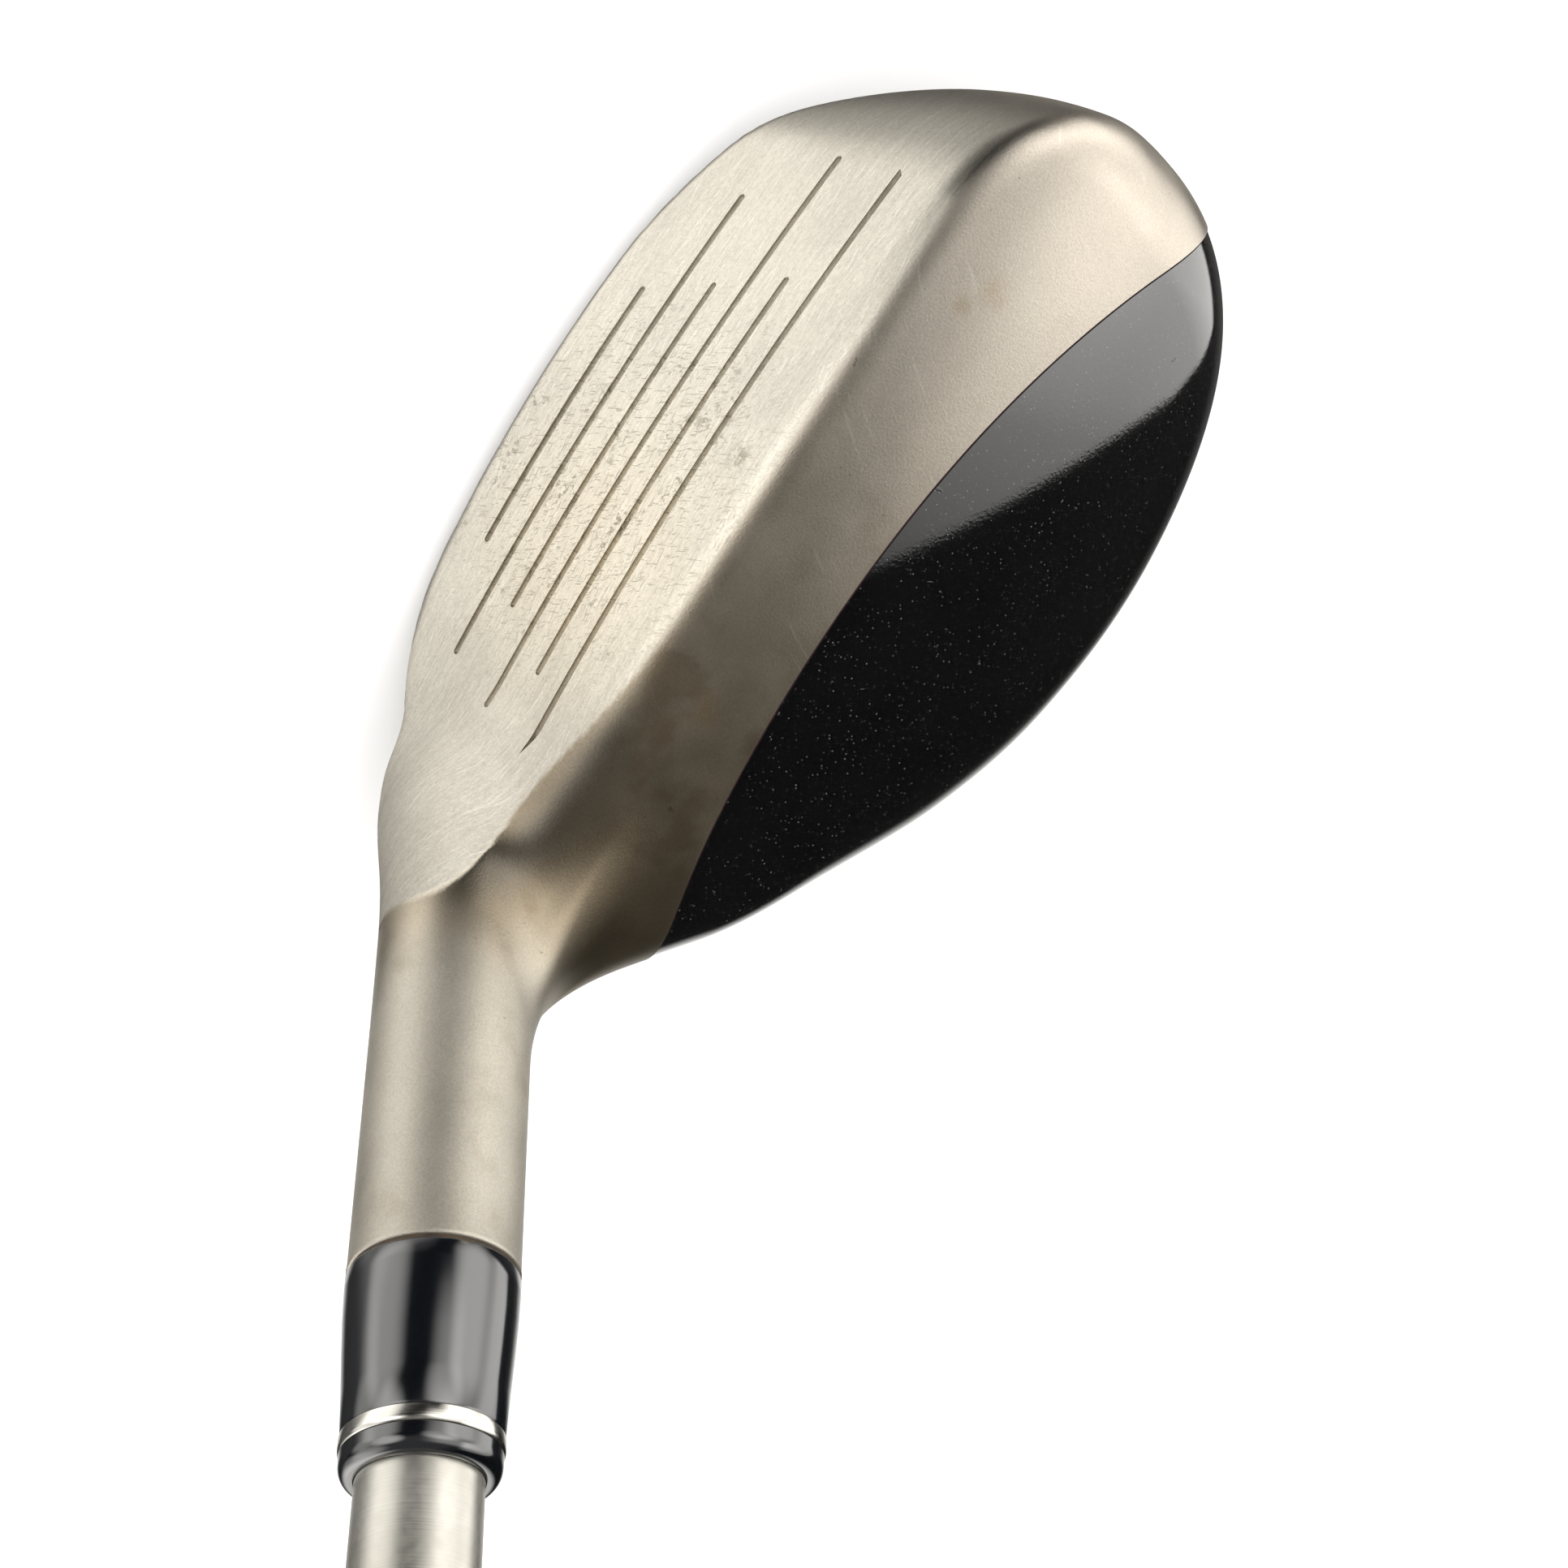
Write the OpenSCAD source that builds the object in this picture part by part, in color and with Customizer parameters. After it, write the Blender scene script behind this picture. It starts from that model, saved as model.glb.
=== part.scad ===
// Hybrid golf club, right-handed, standing at address with its sole on the ground.
// Units are millimetres and +Z is up.
// The origin is where the shaft axis meets the ground.
// +X points to the heel and the player, and -Y points to the target.

/* [Stance] */
// Angle between the shaft axis and the ground
lie_angle = 60; // [58:0.5:62]
// Loft of the striking face, from the vertical
loft_angle = 20; // [18:0.5:23]

/* [Head] */
// Height of the crown at its highest point
crown_h = 33.5; // [32:0.5:36]
// Distance from the shaft axis forward to the foot of the face
face_forward = 11; // [10:0.5:12]
// Radius of the face from heel to toe
bulge_radius = 310; // [260:10:400]
// Thickness of the cast body wall
wall = 2.0; // [1.9:0.1:2.6]
// Radius of the rounded top line between face and crown
top_line_round = 2.5; // [2:0.5:4]
// Size of the blend between the hosel and the front of the head
front_blend = 6; // [5:0.5:8]
// Size of the blend between the hosel and the rear of the head
rear_blend = 18; // [14:1:18]

/* [Face] */
// Thickness of the welded face plate
face_plate_t = 2.0; // [1.8:0.1:2.4]
// Distance between neighbouring score lines
score_pitch = 3.8; // [3.4:0.1:4]
// Width of a score line
score_w = 0.7; // [0.5:0.05:0.8]
// Depth of a score line
score_depth = 0.4; // [0.3:0.05:0.5]

/* [Rear crown] */
// Thickness of the black rear crown shell
crown_shell_t = 1.0; // [0.8:0.1:1.1]
// Width of the ledge that carries the shell
ledge_w = 3; // [2.5:0.5:4]
// Step from the silver crown down to the black shell
crown_step = 0.15; // [0.1:0.05:0.25]

/* [Hosel and ferrule] */
// Distance along the shaft from the ground to the end of the hosel
hosel_end = 69; // [66:0.5:74]
// Outer diameter of the hosel at its end
hosel_d = 13.6; // [13:0.1:14]
// Depth of the bore that takes the shaft
bore_depth = 32; // [28:1:34]
// Length of the ferrule above the hosel
ferrule_len = 16.6; // [14:0.2:20]
// Diameter of the ferrule at its silver ring
ferrule_top_d = 12.1; // [11.6:0.1:12.8]

/* [Shaft and grip] */
// Length of the club along the shaft, from the ground to the grip cap
club_len = 1010; // [960:5:1040]
// Diameter of the shaft at its tip
shaft_tip_d = 9.4; // [9:0.1:9.6]
// Diameter of the shaft at its butt
shaft_butt_d = 15.2; // [14.8:0.1:15.6]
// Wall thickness of the shaft at its tip
shaft_tip_wall = 0.55; // [0.5:0.05:0.8]
// Wall thickness of the shaft at its butt
shaft_butt_wall = 0.35; // [0.3:0.05:0.5]
// Number of drawn steps in the shaft
shaft_steps = 14; // [10:1:16]
// Length of the grip
grip_len = 268; // [255:1:275]
// Diameter of the grip at its open end
grip_mouth_d = 19.4; // [18.6:0.1:20.5]
// Diameter of the grip next to its cap
grip_butt_d = 26.4; // [25.5:0.1:27.5]

/* [Hidden] */

gap = 0.05;
round_fn = 72;

// Stations along the shaft axis, measured from the ground
hosel_r = hosel_d / 2;
bore_floor = hosel_end - bore_depth;
tip_r = shaft_tip_d / 2;
butt_r = shaft_butt_d / 2;
bore_r = tip_r + 0.12;
bond_t = 0.25;
ferrule_start = hosel_end + bond_t;
ring_start = hosel_end + 0.80 * ferrule_len;
ring_end = ring_start + 1.3;
ferrule_end = hosel_end + ferrule_len;
ferrule_top_r = ferrule_top_d / 2;
shaft_start = bore_floor + 0.4;
cap_t = 3.2;
shaft_end = club_len - cap_t;
grip_start = club_len - grip_len;
step_start = 215;
step_end = grip_start - 14;
tape_t = 0.15;
band_start = grip_start - 78;

// Score lines, from the leading edge up: toe end and heel end along X
score_first = 6.5;
score_ends = [[-41, -12.5], [-53, -2], [-44.5, -9], [-60, 0], [-48, -5.5], [-62.5, 2]];
face_mid_x = -26;
face_cut = 4.8;

// Sole weight
weight_at = [-30, 33];
weight_r = 7;
weight_h = 6.5;

// Radii of the head outline in plan, one every 30 degrees, measured from plan_mid
plan_mid = [-28, 18];
plan_r = [44.2, 32.5, 30.9, 35.4, 43.8, 49.8, 49.9, 44.3, 50, 42, 48, 52];

// Lower edge of the rear crown, and the thickness of its adhesive
crown_foot = 12;
adhesive_t = 0.2;
seam_w = 0.3;

function smooth_max(a, b, k) = let (h = max(k - abs(a - b), 0) / k) max(a, b) + h * h * k / 4;
function smooth_min(a, b, k) = -smooth_max(-a, -b, k);
function sq(v) = v * v;
function clamp01(v) = min(1, max(0, v));
function smooth01(v) = let (c = clamp01(v)) c * c * (3 - 2 * c);

// A smooth closed curve through evenly spaced values
function ring_value(list, t) =
    let (n = len(list), i = floor(t), u = t - i,
        p0 = list[(i - 1 + n) % n], p1 = list[i % n], p2 = list[(i + 1) % n], p3 = list[(i + 2) % n])
    p1 + 0.5 * u * (p2 - p0 + u * (2 * p0 - 5 * p1 + 4 * p2 - p3 + u * (3 * (p1 - p2) + p3 - p0)));

// Height of the crown and of the sole over a point of the plan, and how steep they are there
function crown_fall(y) = y < 12 ? 0.014 : 0.0108;
function crown_droop(x) = x < -28 ? 0.0018 : 0.0030;
function crown_z(x, y) = crown_h - crown_fall(y) * sq(y - 12) - crown_droop(x) * sq(x + 28);
function crown_slope(x, y) = sqrt(1 + sq(2 * crown_fall(y) * (y - 12)) + sq(2 * crown_droop(x) * (x + 28)));
function sole_camber(y) = y < 8 ? 0.002 : 0.0035;
function sole_toe(x) = min(0, x + 42);
function sole_heel(x) = max(0, x + 10);
function sole_z(x, y) = sole_camber(y) * sq(y - 8) + 0.010 * sq(sole_toe(x))
    + 0.011 * sq(sole_heel(x)) + 0.0005 * pow(sole_heel(x), 3);
function sole_slope(x, y) =
    sqrt(1 + sq(2 * sole_camber(y) * (y - 8))
        + sq(0.02 * sole_toe(x) + 0.022 * sole_heel(x) + 0.0015 * sq(sole_heel(x))));

// Signed distance, negative inside, for each face of the head
function d_crown(p) = (p.z - crown_z(p.x, p.y)) / crown_slope(p.x, p.y);
function d_sole(p) = (sole_z(p.x, p.y) - p.z) / sole_slope(p.x, p.y);
function face_bulge(x) = sq(x - face_mid_x) / (2 * bulge_radius);
function face_lip(p) = 1.4 * sq(clamp01(1 - p.z / 13)) * sq(clamp01(1 - sq((p.x + 30) / 40)));
function d_face(p) = -(p.y + face_forward - p.z * tan(loft_angle)) * cos(loft_angle)
    + face_bulge(p.x) - face_lip(p);
function d_side(p) =
    let (dx = p.x - plan_mid.x, dy = p.y - plan_mid.y, a = atan2(dy, dx))
    norm([dx, dy]) - ring_value(plan_r, (a < 0 ? a + 360 : a) / 30) + 0.006 * sq(p.z - 14);
function d_block(p) =
    let (d_wall = smooth_max(d_face(p), d_side(p), 7),
        k_crown = top_line_round + (9 - top_line_round) * smooth01((p.y - 4) / 20),
        k_sole = 2 + 4 * smooth01((p.y + 6) / 16))
    smooth_max(smooth_max(d_wall, d_crown(p), k_crown), d_sole(p), k_sole);
function d_hosel(p) =
    let (a = p * axis)
    smooth_max(norm(p - a * axis) - hosel_r + 0.05 - 0.006 * (hosel_end - a) - 0.0004 * sq(max(0, 46 - a)),
        14 - a, 12);
function d_head(p) =
    let (front = front_blend + 3 * smooth01((p.x - 2) / 10))
    smooth_min(d_block(p), d_hosel(p), front + (rear_blend - front) * smooth01((p.y + 2) / 9));
axis = [cos(lie_angle), 0, sin(lie_angle)];

// The middle of the section at a station x, always inside the head
function mid_y(x) = lookup(x, [[-80, 20.8], [-60, 20], [0, 12], [14, 5], [20, 2], [30, 0]]);
function mid_z(x) = lookup(x, [[-80, 19.5], [-60, 16], [0, 15], [14, 21], [20, 33], [30, 30 * tan(lie_angle)]]);

// Distance from lo to the surface along a direction, found by halving
function surface_at(p, d, lo, hi, offset, solid, n = 13) = n == 0 ? (lo + hi) / 2 :
    let (m = (lo + hi) / 2, q = p + m * d, f = solid == "head" ? d_head(q) : d_block(q))
    f < -offset ? surface_at(p, d, m, hi, offset, solid, n - 1) : surface_at(p, d, lo, m, offset, solid, n - 1);

function toe_x(offset) = -60 - surface_at([-60, 20.8, 19.5], [-1, 0, 0], 0, 40, offset, "block");

// Angle of a ray in a section, with the rays closest together at the leading edge
function ray_angle(t) = t - 37 * sin(t - lead_angle);
lead_angle = 209;

// A closed skin of the head, moved in by offset, from the toe to x_heel
module head_skin(offset, x_heel, solid, stations = 44, around = 60) {
    x_toe = toe_x(offset) + 0.08;
    points = [for (i = [0:stations])
        let (x = x_toe + (x_heel - x_toe) * (1 - cos(180 * i / stations)) / 2, p = [x, mid_y(x), mid_z(x)])
        for (j = [0:around - 1])
            let (a = ray_angle(360 * j / around), d = [0, cos(a), sin(a)])
            p + surface_at(p, d, 0, 52, offset, solid) * d];
    faces = concat(
        [[for (j = [0:around - 1]) j]],
        [for (i = [0:stations - 1]) for (j = [0:around - 1])
            let (a = i * around + j, b = i * around + (j + 1) % around)
            each [[a, a + around, b], [b, a + around, b + around]]],
        [[for (j = [around - 1:-1:0]) stations * around + j]]);
    polyhedron(points, faces, convexity = 6);
}

// Places its children along the shaft axis, with the ground at zero
module along_shaft() {
    rotate([0, 90 - lie_angle, 0])
    children();
}

// Places a flat outline in the plane of the face: X stays, Y runs up the loft, Z points out
module in_face() {
    translate([0, -face_forward, 0])
    rotate([90 - loft_angle, 0, 0])
    children();
}

// Outline of the face plate in the plane of the face
module face_outline(margin) {
    offset(r = 6 - margin)
    polygon([[-56, 14.5], [-50, 11.5], [-4, 11.5], [2, 15], [1, 19], [-10, 22], [-56, 22]]);
}

// Block over the rear of the head, behind the crown line and above the crown foot
module rear_zone(margin) {
    translate([0, 0, crown_foot + margin])
    linear_extrude(height = 40)
    polygon(concat(
        [for (x = [-92:4:32]) [x, crown_line(x) + margin]],
        [[32, 70], [-92, 70]]));
}

// Line in plan where the silver crown ends and the black one begins
function crown_line(x) = 12.9 + 0.005 * sq(x + 23) + 0.0000005 * sq(sq(x + 23));

module cavity() {
    difference() {
        head_skin(wall, 12, "block", 32, 36);
        along_shaft()
            cylinder(h = 90, r = hosel_r + 0.4, $fn = 48);
        translate([weight_at.x, weight_at.y, 0])
            cylinder(h = weight_h + 6, r = weight_r + 2, $fn = 48);
    }
}

// Freeform part of the body before the round bores are cut
module body_casting() {
    resize([0, 0, 0])
    difference() {
        union() {
            head_skin(0, 27, "head");
            along_shaft()
                translate([0, 0, 40])
                cylinder(h = hosel_end - 40, r1 = hosel_r + 0.006 * (hosel_end - 40), r2 = hosel_r, $fn = 96);
        }
        cavity();
        in_face()
            translate([0, 0, -face_cut])
            linear_extrude(height = face_cut + 4)
            face_outline(0);
        difference() {
            rear_zone(0);
            head_skin(crown_step + crown_shell_t + adhesive_t, 20, "block");
        }
        rear_zone(ledge_w);
    }
}

module head_body() {
    color("silver")
    difference() {
        body_casting();
        along_shaft()
            translate([0, 0, bore_floor])
            cylinder(h = bore_depth + 5, r = bore_r, $fn = round_fn);
        translate([weight_at.x, weight_at.y, -2])
            cylinder(h = weight_h + 4, r = weight_r, $fn = round_fn);
    }
}

// One score line: a thin curved bar that follows the bulge of the face
module score_line(i) {
    x0 = score_ends[i].x;
    x1 = score_ends[i].y;
    up = score_first + i * score_pitch;
    in_face()
        translate([0, up + score_w / 2, 0])
        rotate([90, 0, 0])
        linear_extrude(height = score_w)
        polygon(concat(
            [for (k = [0:8]) let (x = x0 + (x1 - x0) * k / 8) [x, -face_bulge(x) - score_depth]],
            [[x1, 3], [x0, 3]]));
}

module face_plate() {
    color("gainsboro")
    resize([0, 0, 0])
    difference() {
        intersection() {
            head_skin(0, 20, "block");
            in_face()
                translate([0, 0, -face_cut])
                linear_extrude(height = face_cut + 4)
                face_outline(gap);
        }
        head_skin(face_plate_t, 20, "block");
        for (i = [0:len(score_ends) - 1])
            score_line(i);
    }
}

module rear_crown() {
    color("black")
    resize([0, 0, 0])
    intersection() {
        difference() {
            head_skin(crown_step, 20, "block");
            head_skin(crown_step + crown_shell_t, 20, "block");
        }
        rear_zone(seam_w);
    }
}

// Bead of adhesive on the ledge, showing as a thin line around the shell
module crown_adhesive() {
    color("maroon")
    resize([0, 0, 0])
    difference() {
        intersection() {
            head_skin(crown_step + 0.1, 20, "block");
            rear_zone(0.02);
        }
        head_skin(crown_step + crown_shell_t + adhesive_t - 0.02, 20, "block");
        difference() {
            rear_zone(seam_w - 0.02);
            head_skin(crown_step + crown_shell_t + 0.02, 20, "block");
        }
        rear_zone(ledge_w - 0.2);
    }
}

module sole_weight() {
    color("dimgray")
    translate([weight_at.x, weight_at.y, 0])
    difference() {
        rotate_extrude($fn = round_fn)
            polygon([[0, 2.3], [weight_r - 0.6, 2.3], [weight_r - gap, 2.8],
                [weight_r - gap, weight_h + 1], [0, weight_h + 1]]);
        translate([0, 0, 1])
            cylinder(h = 3.8, r = 2.6, $fn = 6);
    }
}

module sole_weight_seal() {
    color("dimgray")
    translate([weight_at.x, weight_at.y, weight_h + 1])
    difference() {
        cylinder(h = 0.95, r = weight_r - 0.2, $fn = round_fn);
        translate([0, 0, -1])
            cylinder(h = 3, r = weight_r - 2.2, $fn = round_fn);
    }
}

// Lump of hot-melt glue on the floor of the head, under the toe
module rattle_stop() {
    color("wheat")
    resize([0, 0, 0])
    intersection() {
        head_skin(wall + gap, 12, "block", 36, 32);
        translate([-56, 18, 3])
            scale([11, 8, 4])
            sphere(r = 1, $fn = 40);
    }
}

module hosel_adhesive() {
    color("khaki")
    along_shaft()
    translate([0, 0, bore_floor + 0.1])
    difference() {
        cylinder(h = bore_depth - 0.1, r = bore_r - 0.01, $fn = round_fn);
        translate([0, 0, 0.3])
            cylinder(h = bore_depth, r = tip_r + 0.01, $fn = round_fn);
    }
}

module ferrule_bond() {
    color("saddlebrown")
    along_shaft()
    translate([0, 0, hosel_end])
    difference() {
        cylinder(h = bond_t, r = hosel_r - 0.08, $fn = round_fn);
        translate([0, 0, -1])
            cylinder(h = bond_t + 2, r = tip_r + 0.02, $fn = round_fn);
    }
}

module ferrule_body() {
    color("midnightblue")
    along_shaft()
    rotate_extrude($fn = round_fn)
    polygon([
        [tip_r + 0.02, ferrule_start], [hosel_r - 0.15, ferrule_start], [hosel_r, ferrule_start + 0.2],
        [hosel_r - 0.2, ferrule_start + 0.3 * ferrule_len], [ferrule_top_r, ring_start],
        [tip_r + 0.02, ring_start]]);
}

module ferrule_ring() {
    color("silver")
    along_shaft()
    rotate_extrude($fn = round_fn)
    polygon([[tip_r + 0.02, ring_start], [ferrule_top_r, ring_start], [ferrule_top_r + 0.06, ring_start + 0.2],
        [ferrule_top_r + 0.05, ring_end - 0.2], [ferrule_top_r - 0.03, ring_end], [tip_r + 0.02, ring_end]]);
}

module ferrule_collar() {
    color("midnightblue")
    along_shaft()
    rotate_extrude($fn = round_fn)
    polygon(concat(
        [[tip_r + 0.02, ring_end], [ferrule_top_r - 0.05, ring_end]],
        [for (a = [0:15:90]) [tip_r + 0.25 + (ferrule_top_r - tip_r - 0.35) * cos(a),
            ferrule_end - 1.2 + 1.2 * sin(a)]],
        [[tip_r + 0.02, ferrule_end]]));
}

step_len = (step_end - step_start) / shaft_steps;
step_rise = (butt_r - tip_r) / shaft_steps;
function shaft_r(i) = tip_r + i * step_rise;
function shaft_wall(i) = shaft_tip_wall + (shaft_butt_wall - shaft_tip_wall) * i / shaft_steps;

// Drawn steel tube: a parallel tip, short steps, then a parallel butt under the grip
module shaft() {
    color("silver")
    along_shaft()
    rotate_extrude($fn = round_fn)
    polygon(concat(
        [[tip_r - shaft_tip_wall, shaft_start], [tip_r, shaft_start]],
        [for (i = [0:shaft_steps - 1]) each [
            [shaft_r(i), step_start + i * step_len - 0.6],
            [shaft_r(i + 1), step_start + i * step_len + 0.6]]],
        [[butt_r, shaft_end - 0.05], [butt_r - shaft_butt_wall, shaft_end - 0.05]],
        [for (i = [shaft_steps - 1:-1:0]) each [
            [shaft_r(i + 1) - shaft_wall(i + 1), step_start + i * step_len + 0.6],
            [shaft_r(i) - shaft_wall(i), step_start + i * step_len - 0.6]]]));
}

// Rubber plug that keeps epoxy out of the tube
module tip_plug() {
    color("dimgray")
    along_shaft()
    translate([0, 0, shaft_start + 22])
    cylinder(h = 6, r = tip_r - shaft_tip_wall - 0.02, $fn = round_fn);
}

// Pin that sets the swing weight
module tip_weight() {
    pin_r = tip_r - shaft_tip_wall - 0.04;
    color("goldenrod")
    along_shaft()
    translate([0, 0, shaft_start + 1])
    rotate_extrude($fn = round_fn)
    polygon([[0, 0], [pin_r - 0.6, 0], [pin_r, 0.6], [pin_r, 20], [0, 20]]);
}

// Plain foil band around the shaft below the grip
module shaft_band() {
    color("slategray")
    along_shaft()
    translate([0, 0, step_start + (shaft_steps - 1.85) * step_len])
    difference() {
        cylinder(h = 0.7 * step_len, r = tip_r + (shaft_steps - 1) * step_rise + 0.13, $fn = round_fn);
        translate([0, 0, -1])
            cylinder(h = step_len + 2, r = tip_r + (shaft_steps - 1) * step_rise + 0.01, $fn = round_fn);
    }
}

module grip_tape() {
    color("ivory")
    along_shaft()
    translate([0, 0, grip_start + 2])
    difference() {
        cylinder(h = shaft_end - grip_start - 2.1, r = butt_r + tape_t, $fn = round_fn);
        translate([0, 0, -1])
            cylinder(h = grip_len + 10, r = butt_r + 0.01, $fn = round_fn);
    }
}

// Outer radius of the grip at a fraction of its length, thin end first
function grip_r(t) = grip_mouth_d / 2 + (grip_butt_d - grip_mouth_d) / 2 * (0.75 * t + 0.25 * t * t);

module grip_sleeve() {
    color("black")
    along_shaft()
    rotate_extrude($fn = round_fn)
    polygon(concat(
        [[butt_r + tape_t + 0.02, grip_start], [grip_mouth_d / 2 - 0.8, grip_start],
            [grip_mouth_d / 2, grip_start + 0.8]],
        [for (k = [1:12]) [grip_r(k / 12), grip_start + 0.8 + (shaft_end - grip_start - 0.8) * k / 12]],
        [[butt_r + tape_t + 0.02, shaft_end]]));
}

module grip_cap() {
    cap_r = grip_butt_d / 2 + 0.5;
    color("black")
    along_shaft()
    rotate_extrude($fn = round_fn)
    polygon(concat(
        [[1.5, shaft_end], [cap_r - 0.5, shaft_end], [cap_r, shaft_end + 0.4]],
        [for (a = [0:15:90]) [cap_r - 2 + 2 * cos(a), club_len - 2 + 2 * sin(a)]],
        [[1.5, club_len]]));
}

head_body();
face_plate();
rear_crown();
crown_adhesive();
sole_weight();
sole_weight_seal();
rattle_stop();
hosel_adhesive();
ferrule_bond();
ferrule_body();
ferrule_ring();
ferrule_collar();
shaft();
tip_plug();
tip_weight();
shaft_band();
grip_tape();
grip_sleeve();
grip_cap();
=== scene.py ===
import math

import bmesh
import bpy
import numpy as np
from mathutils import Matrix, Vector


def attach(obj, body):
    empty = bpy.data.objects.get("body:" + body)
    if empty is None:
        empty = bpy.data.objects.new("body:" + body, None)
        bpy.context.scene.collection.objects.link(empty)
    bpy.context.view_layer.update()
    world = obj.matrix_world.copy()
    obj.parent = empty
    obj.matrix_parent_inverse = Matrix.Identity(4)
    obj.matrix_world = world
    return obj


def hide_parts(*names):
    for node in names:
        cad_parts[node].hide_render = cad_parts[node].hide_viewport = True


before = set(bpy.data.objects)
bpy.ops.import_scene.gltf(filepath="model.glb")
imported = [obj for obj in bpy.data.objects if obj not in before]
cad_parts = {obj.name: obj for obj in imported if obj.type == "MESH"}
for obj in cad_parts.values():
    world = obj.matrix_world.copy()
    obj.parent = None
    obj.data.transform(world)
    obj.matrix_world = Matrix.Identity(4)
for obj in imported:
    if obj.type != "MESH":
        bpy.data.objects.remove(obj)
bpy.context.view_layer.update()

MM = 0.001

# ------------------------------------------------------------------ design values, millimetres
LIE = math.radians(60)
LOFT = math.radians(20)
AXIS = np.array([math.cos(LIE), 0.0, math.sin(LIE)])
ACROSS = np.array([math.sin(LIE), 0.0, -math.cos(LIE)])
Y_AXIS = np.array([0, 1.0, 0])
CROWN_H = 33.5
FACE_FORWARD = 11.0
BULGE_R = 310.0
TOP_LINE = 2.5
FRONT_BLEND = 6.0
REAR_BLEND = 18.0
HOSEL_END = 69.0
HOSEL_R = 6.8
FACE_MID = -26.0
PLAN_MID = (-28.0, 18.0)
PLAN_R = [44.2, 32.5, 30.9, 35.4, 43.8, 49.8, 49.9, 44.3, 50, 42, 48, 52]
CROWN_FOOT = 12.0
SEAM_W = 0.3
CROWN_STEP = 0.15
SCORE_FIRST = 6.5
SCORE_PITCH = 3.8
SCORE_W = 0.7
SCORE_DEPTH = 0.4
SCORE_ENDS = [(-41, -12.5), (-53, -2), (-44.5, -9), (-60, 0), (-48, -5.5), (-62.5, 2)]
FACE_CUT = 4.8
WEIGHT_AT = (-30.0, 33.0)
WEIGHT_R = 7.0
SKIN = 0.08          # how far the skin lies inside the CAD surface
SEAM_STEP = 0.12     # how far the adhesive line lies below the rear crown
HOSEL_JOIN = 64.0    # where the field's skin meets the turned end of the hosel
HOSEL_BORE_R = 4.82
FERRULE_BORE_R = 4.75
GRID = 0.55
TURNED_SIDES = 160

# Stations along the shaft axis
FERRULE_START = 69.25
RING_START = 82.28
RING_END = 83.58
FERRULE_END = 85.6
TIP_R = 4.7
BUTT_R = 7.6
SHAFT_START = 38.0
STEP_START = 215.0
STEP_END = 728.0
STEPS = 14
GRIP_START = 742.0
SHAFT_END = 1006.8
CLUB_LEN = 1010.0
GRIP_MOUTH_R = 9.7
GRIP_BUTT_R = 13.2
CAP_R = 13.69


# ------------------------------------------------------------------ signed distances of the head
def clamp01(v):
    return np.clip(v, 0, 1)


def smooth01(v):
    v = clamp01(v)
    return v * v * (3 - 2 * v)


def smooth_max(a, b, k):
    h = np.maximum(k - np.abs(a - b), 0) / k
    return np.maximum(a, b) + h * h * k / 4


def smooth_min(a, b, k):
    return -smooth_max(-a, -b, k)


def ring_value(values, t):
    v = np.asarray(values, float)
    n = len(v)
    i = np.floor(t).astype(int)
    u = t - i
    p0, p1, p2, p3 = v[(i - 1) % n], v[i % n], v[(i + 1) % n], v[(i + 2) % n]
    return p1 + 0.5 * u * (p2 - p0 + u * (2 * p0 - 5 * p1 + 4 * p2 - p3 + u * (3 * (p1 - p2) + p3 - p0)))


def d_crown(x, y, z):
    ky = np.where(y < 12, 0.014, 0.0108)
    kx = np.where(x < -28, 0.0018, 0.0030)
    zc = CROWN_H - ky * (y - 12) ** 2 - kx * (x + 28) ** 2
    slope = np.sqrt(1 + (2 * ky * (y - 12)) ** 2 + (2 * kx * (x + 28)) ** 2)
    return (z - zc) / slope


def d_sole(x, y, z):
    ky = np.where(y < 8, 0.002, 0.0035)
    toe = np.minimum(0, x + 42)
    heel = np.maximum(0, x + 10)
    zs = ky * (y - 8) ** 2 + 0.010 * toe ** 2 + 0.011 * heel ** 2 + 0.0005 * heel ** 3
    slope = np.sqrt(1 + (2 * ky * (y - 8)) ** 2 + (0.02 * toe + 0.022 * heel + 0.0015 * heel ** 2) ** 2)
    return (zs - z) / slope


def face_bulge(x):
    return (x - FACE_MID) ** 2 / (2 * BULGE_R)


def face_lip(x, z):
    return 1.4 * clamp01(1 - z / 13) ** 2 * clamp01(1 - ((x + 30) / 40) ** 2) ** 2


def d_face(x, y, z):
    return -(y + FACE_FORWARD - z * math.tan(LOFT)) * math.cos(LOFT) + face_bulge(x) - face_lip(x, z)


def d_side(x, y, z):
    dx, dy = x - PLAN_MID[0], y - PLAN_MID[1]
    a = np.degrees(np.arctan2(dy, dx)) % 360
    return np.hypot(dx, dy) - ring_value(PLAN_R, a / 30) + 0.006 * (z - 14) ** 2


def d_wall(x, y, z):
    return smooth_max(d_face(x, y, z), d_side(x, y, z), 7.0)


def d_block(x, y, z):
    k_crown = TOP_LINE + (9 - TOP_LINE) * smooth01((y - 4) / 20)
    k_sole = 2.0 + 4.0 * smooth01((y + 6) / 16)
    return smooth_max(smooth_max(d_wall(x, y, z), d_crown(x, y, z), k_crown), d_sole(x, y, z), k_sole)


def d_hosel(x, y, z):
    a = x * AXIS[0] + z * AXIS[2]
    r = np.sqrt((x - a * AXIS[0]) ** 2 + y * y + (z - a * AXIS[2]) ** 2)
    grow = 0.006 * (HOSEL_END - a) + 0.0004 * np.maximum(0, 46 - a) ** 2
    return smooth_max(r - HOSEL_R - grow, 14 - a, 12)


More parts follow.
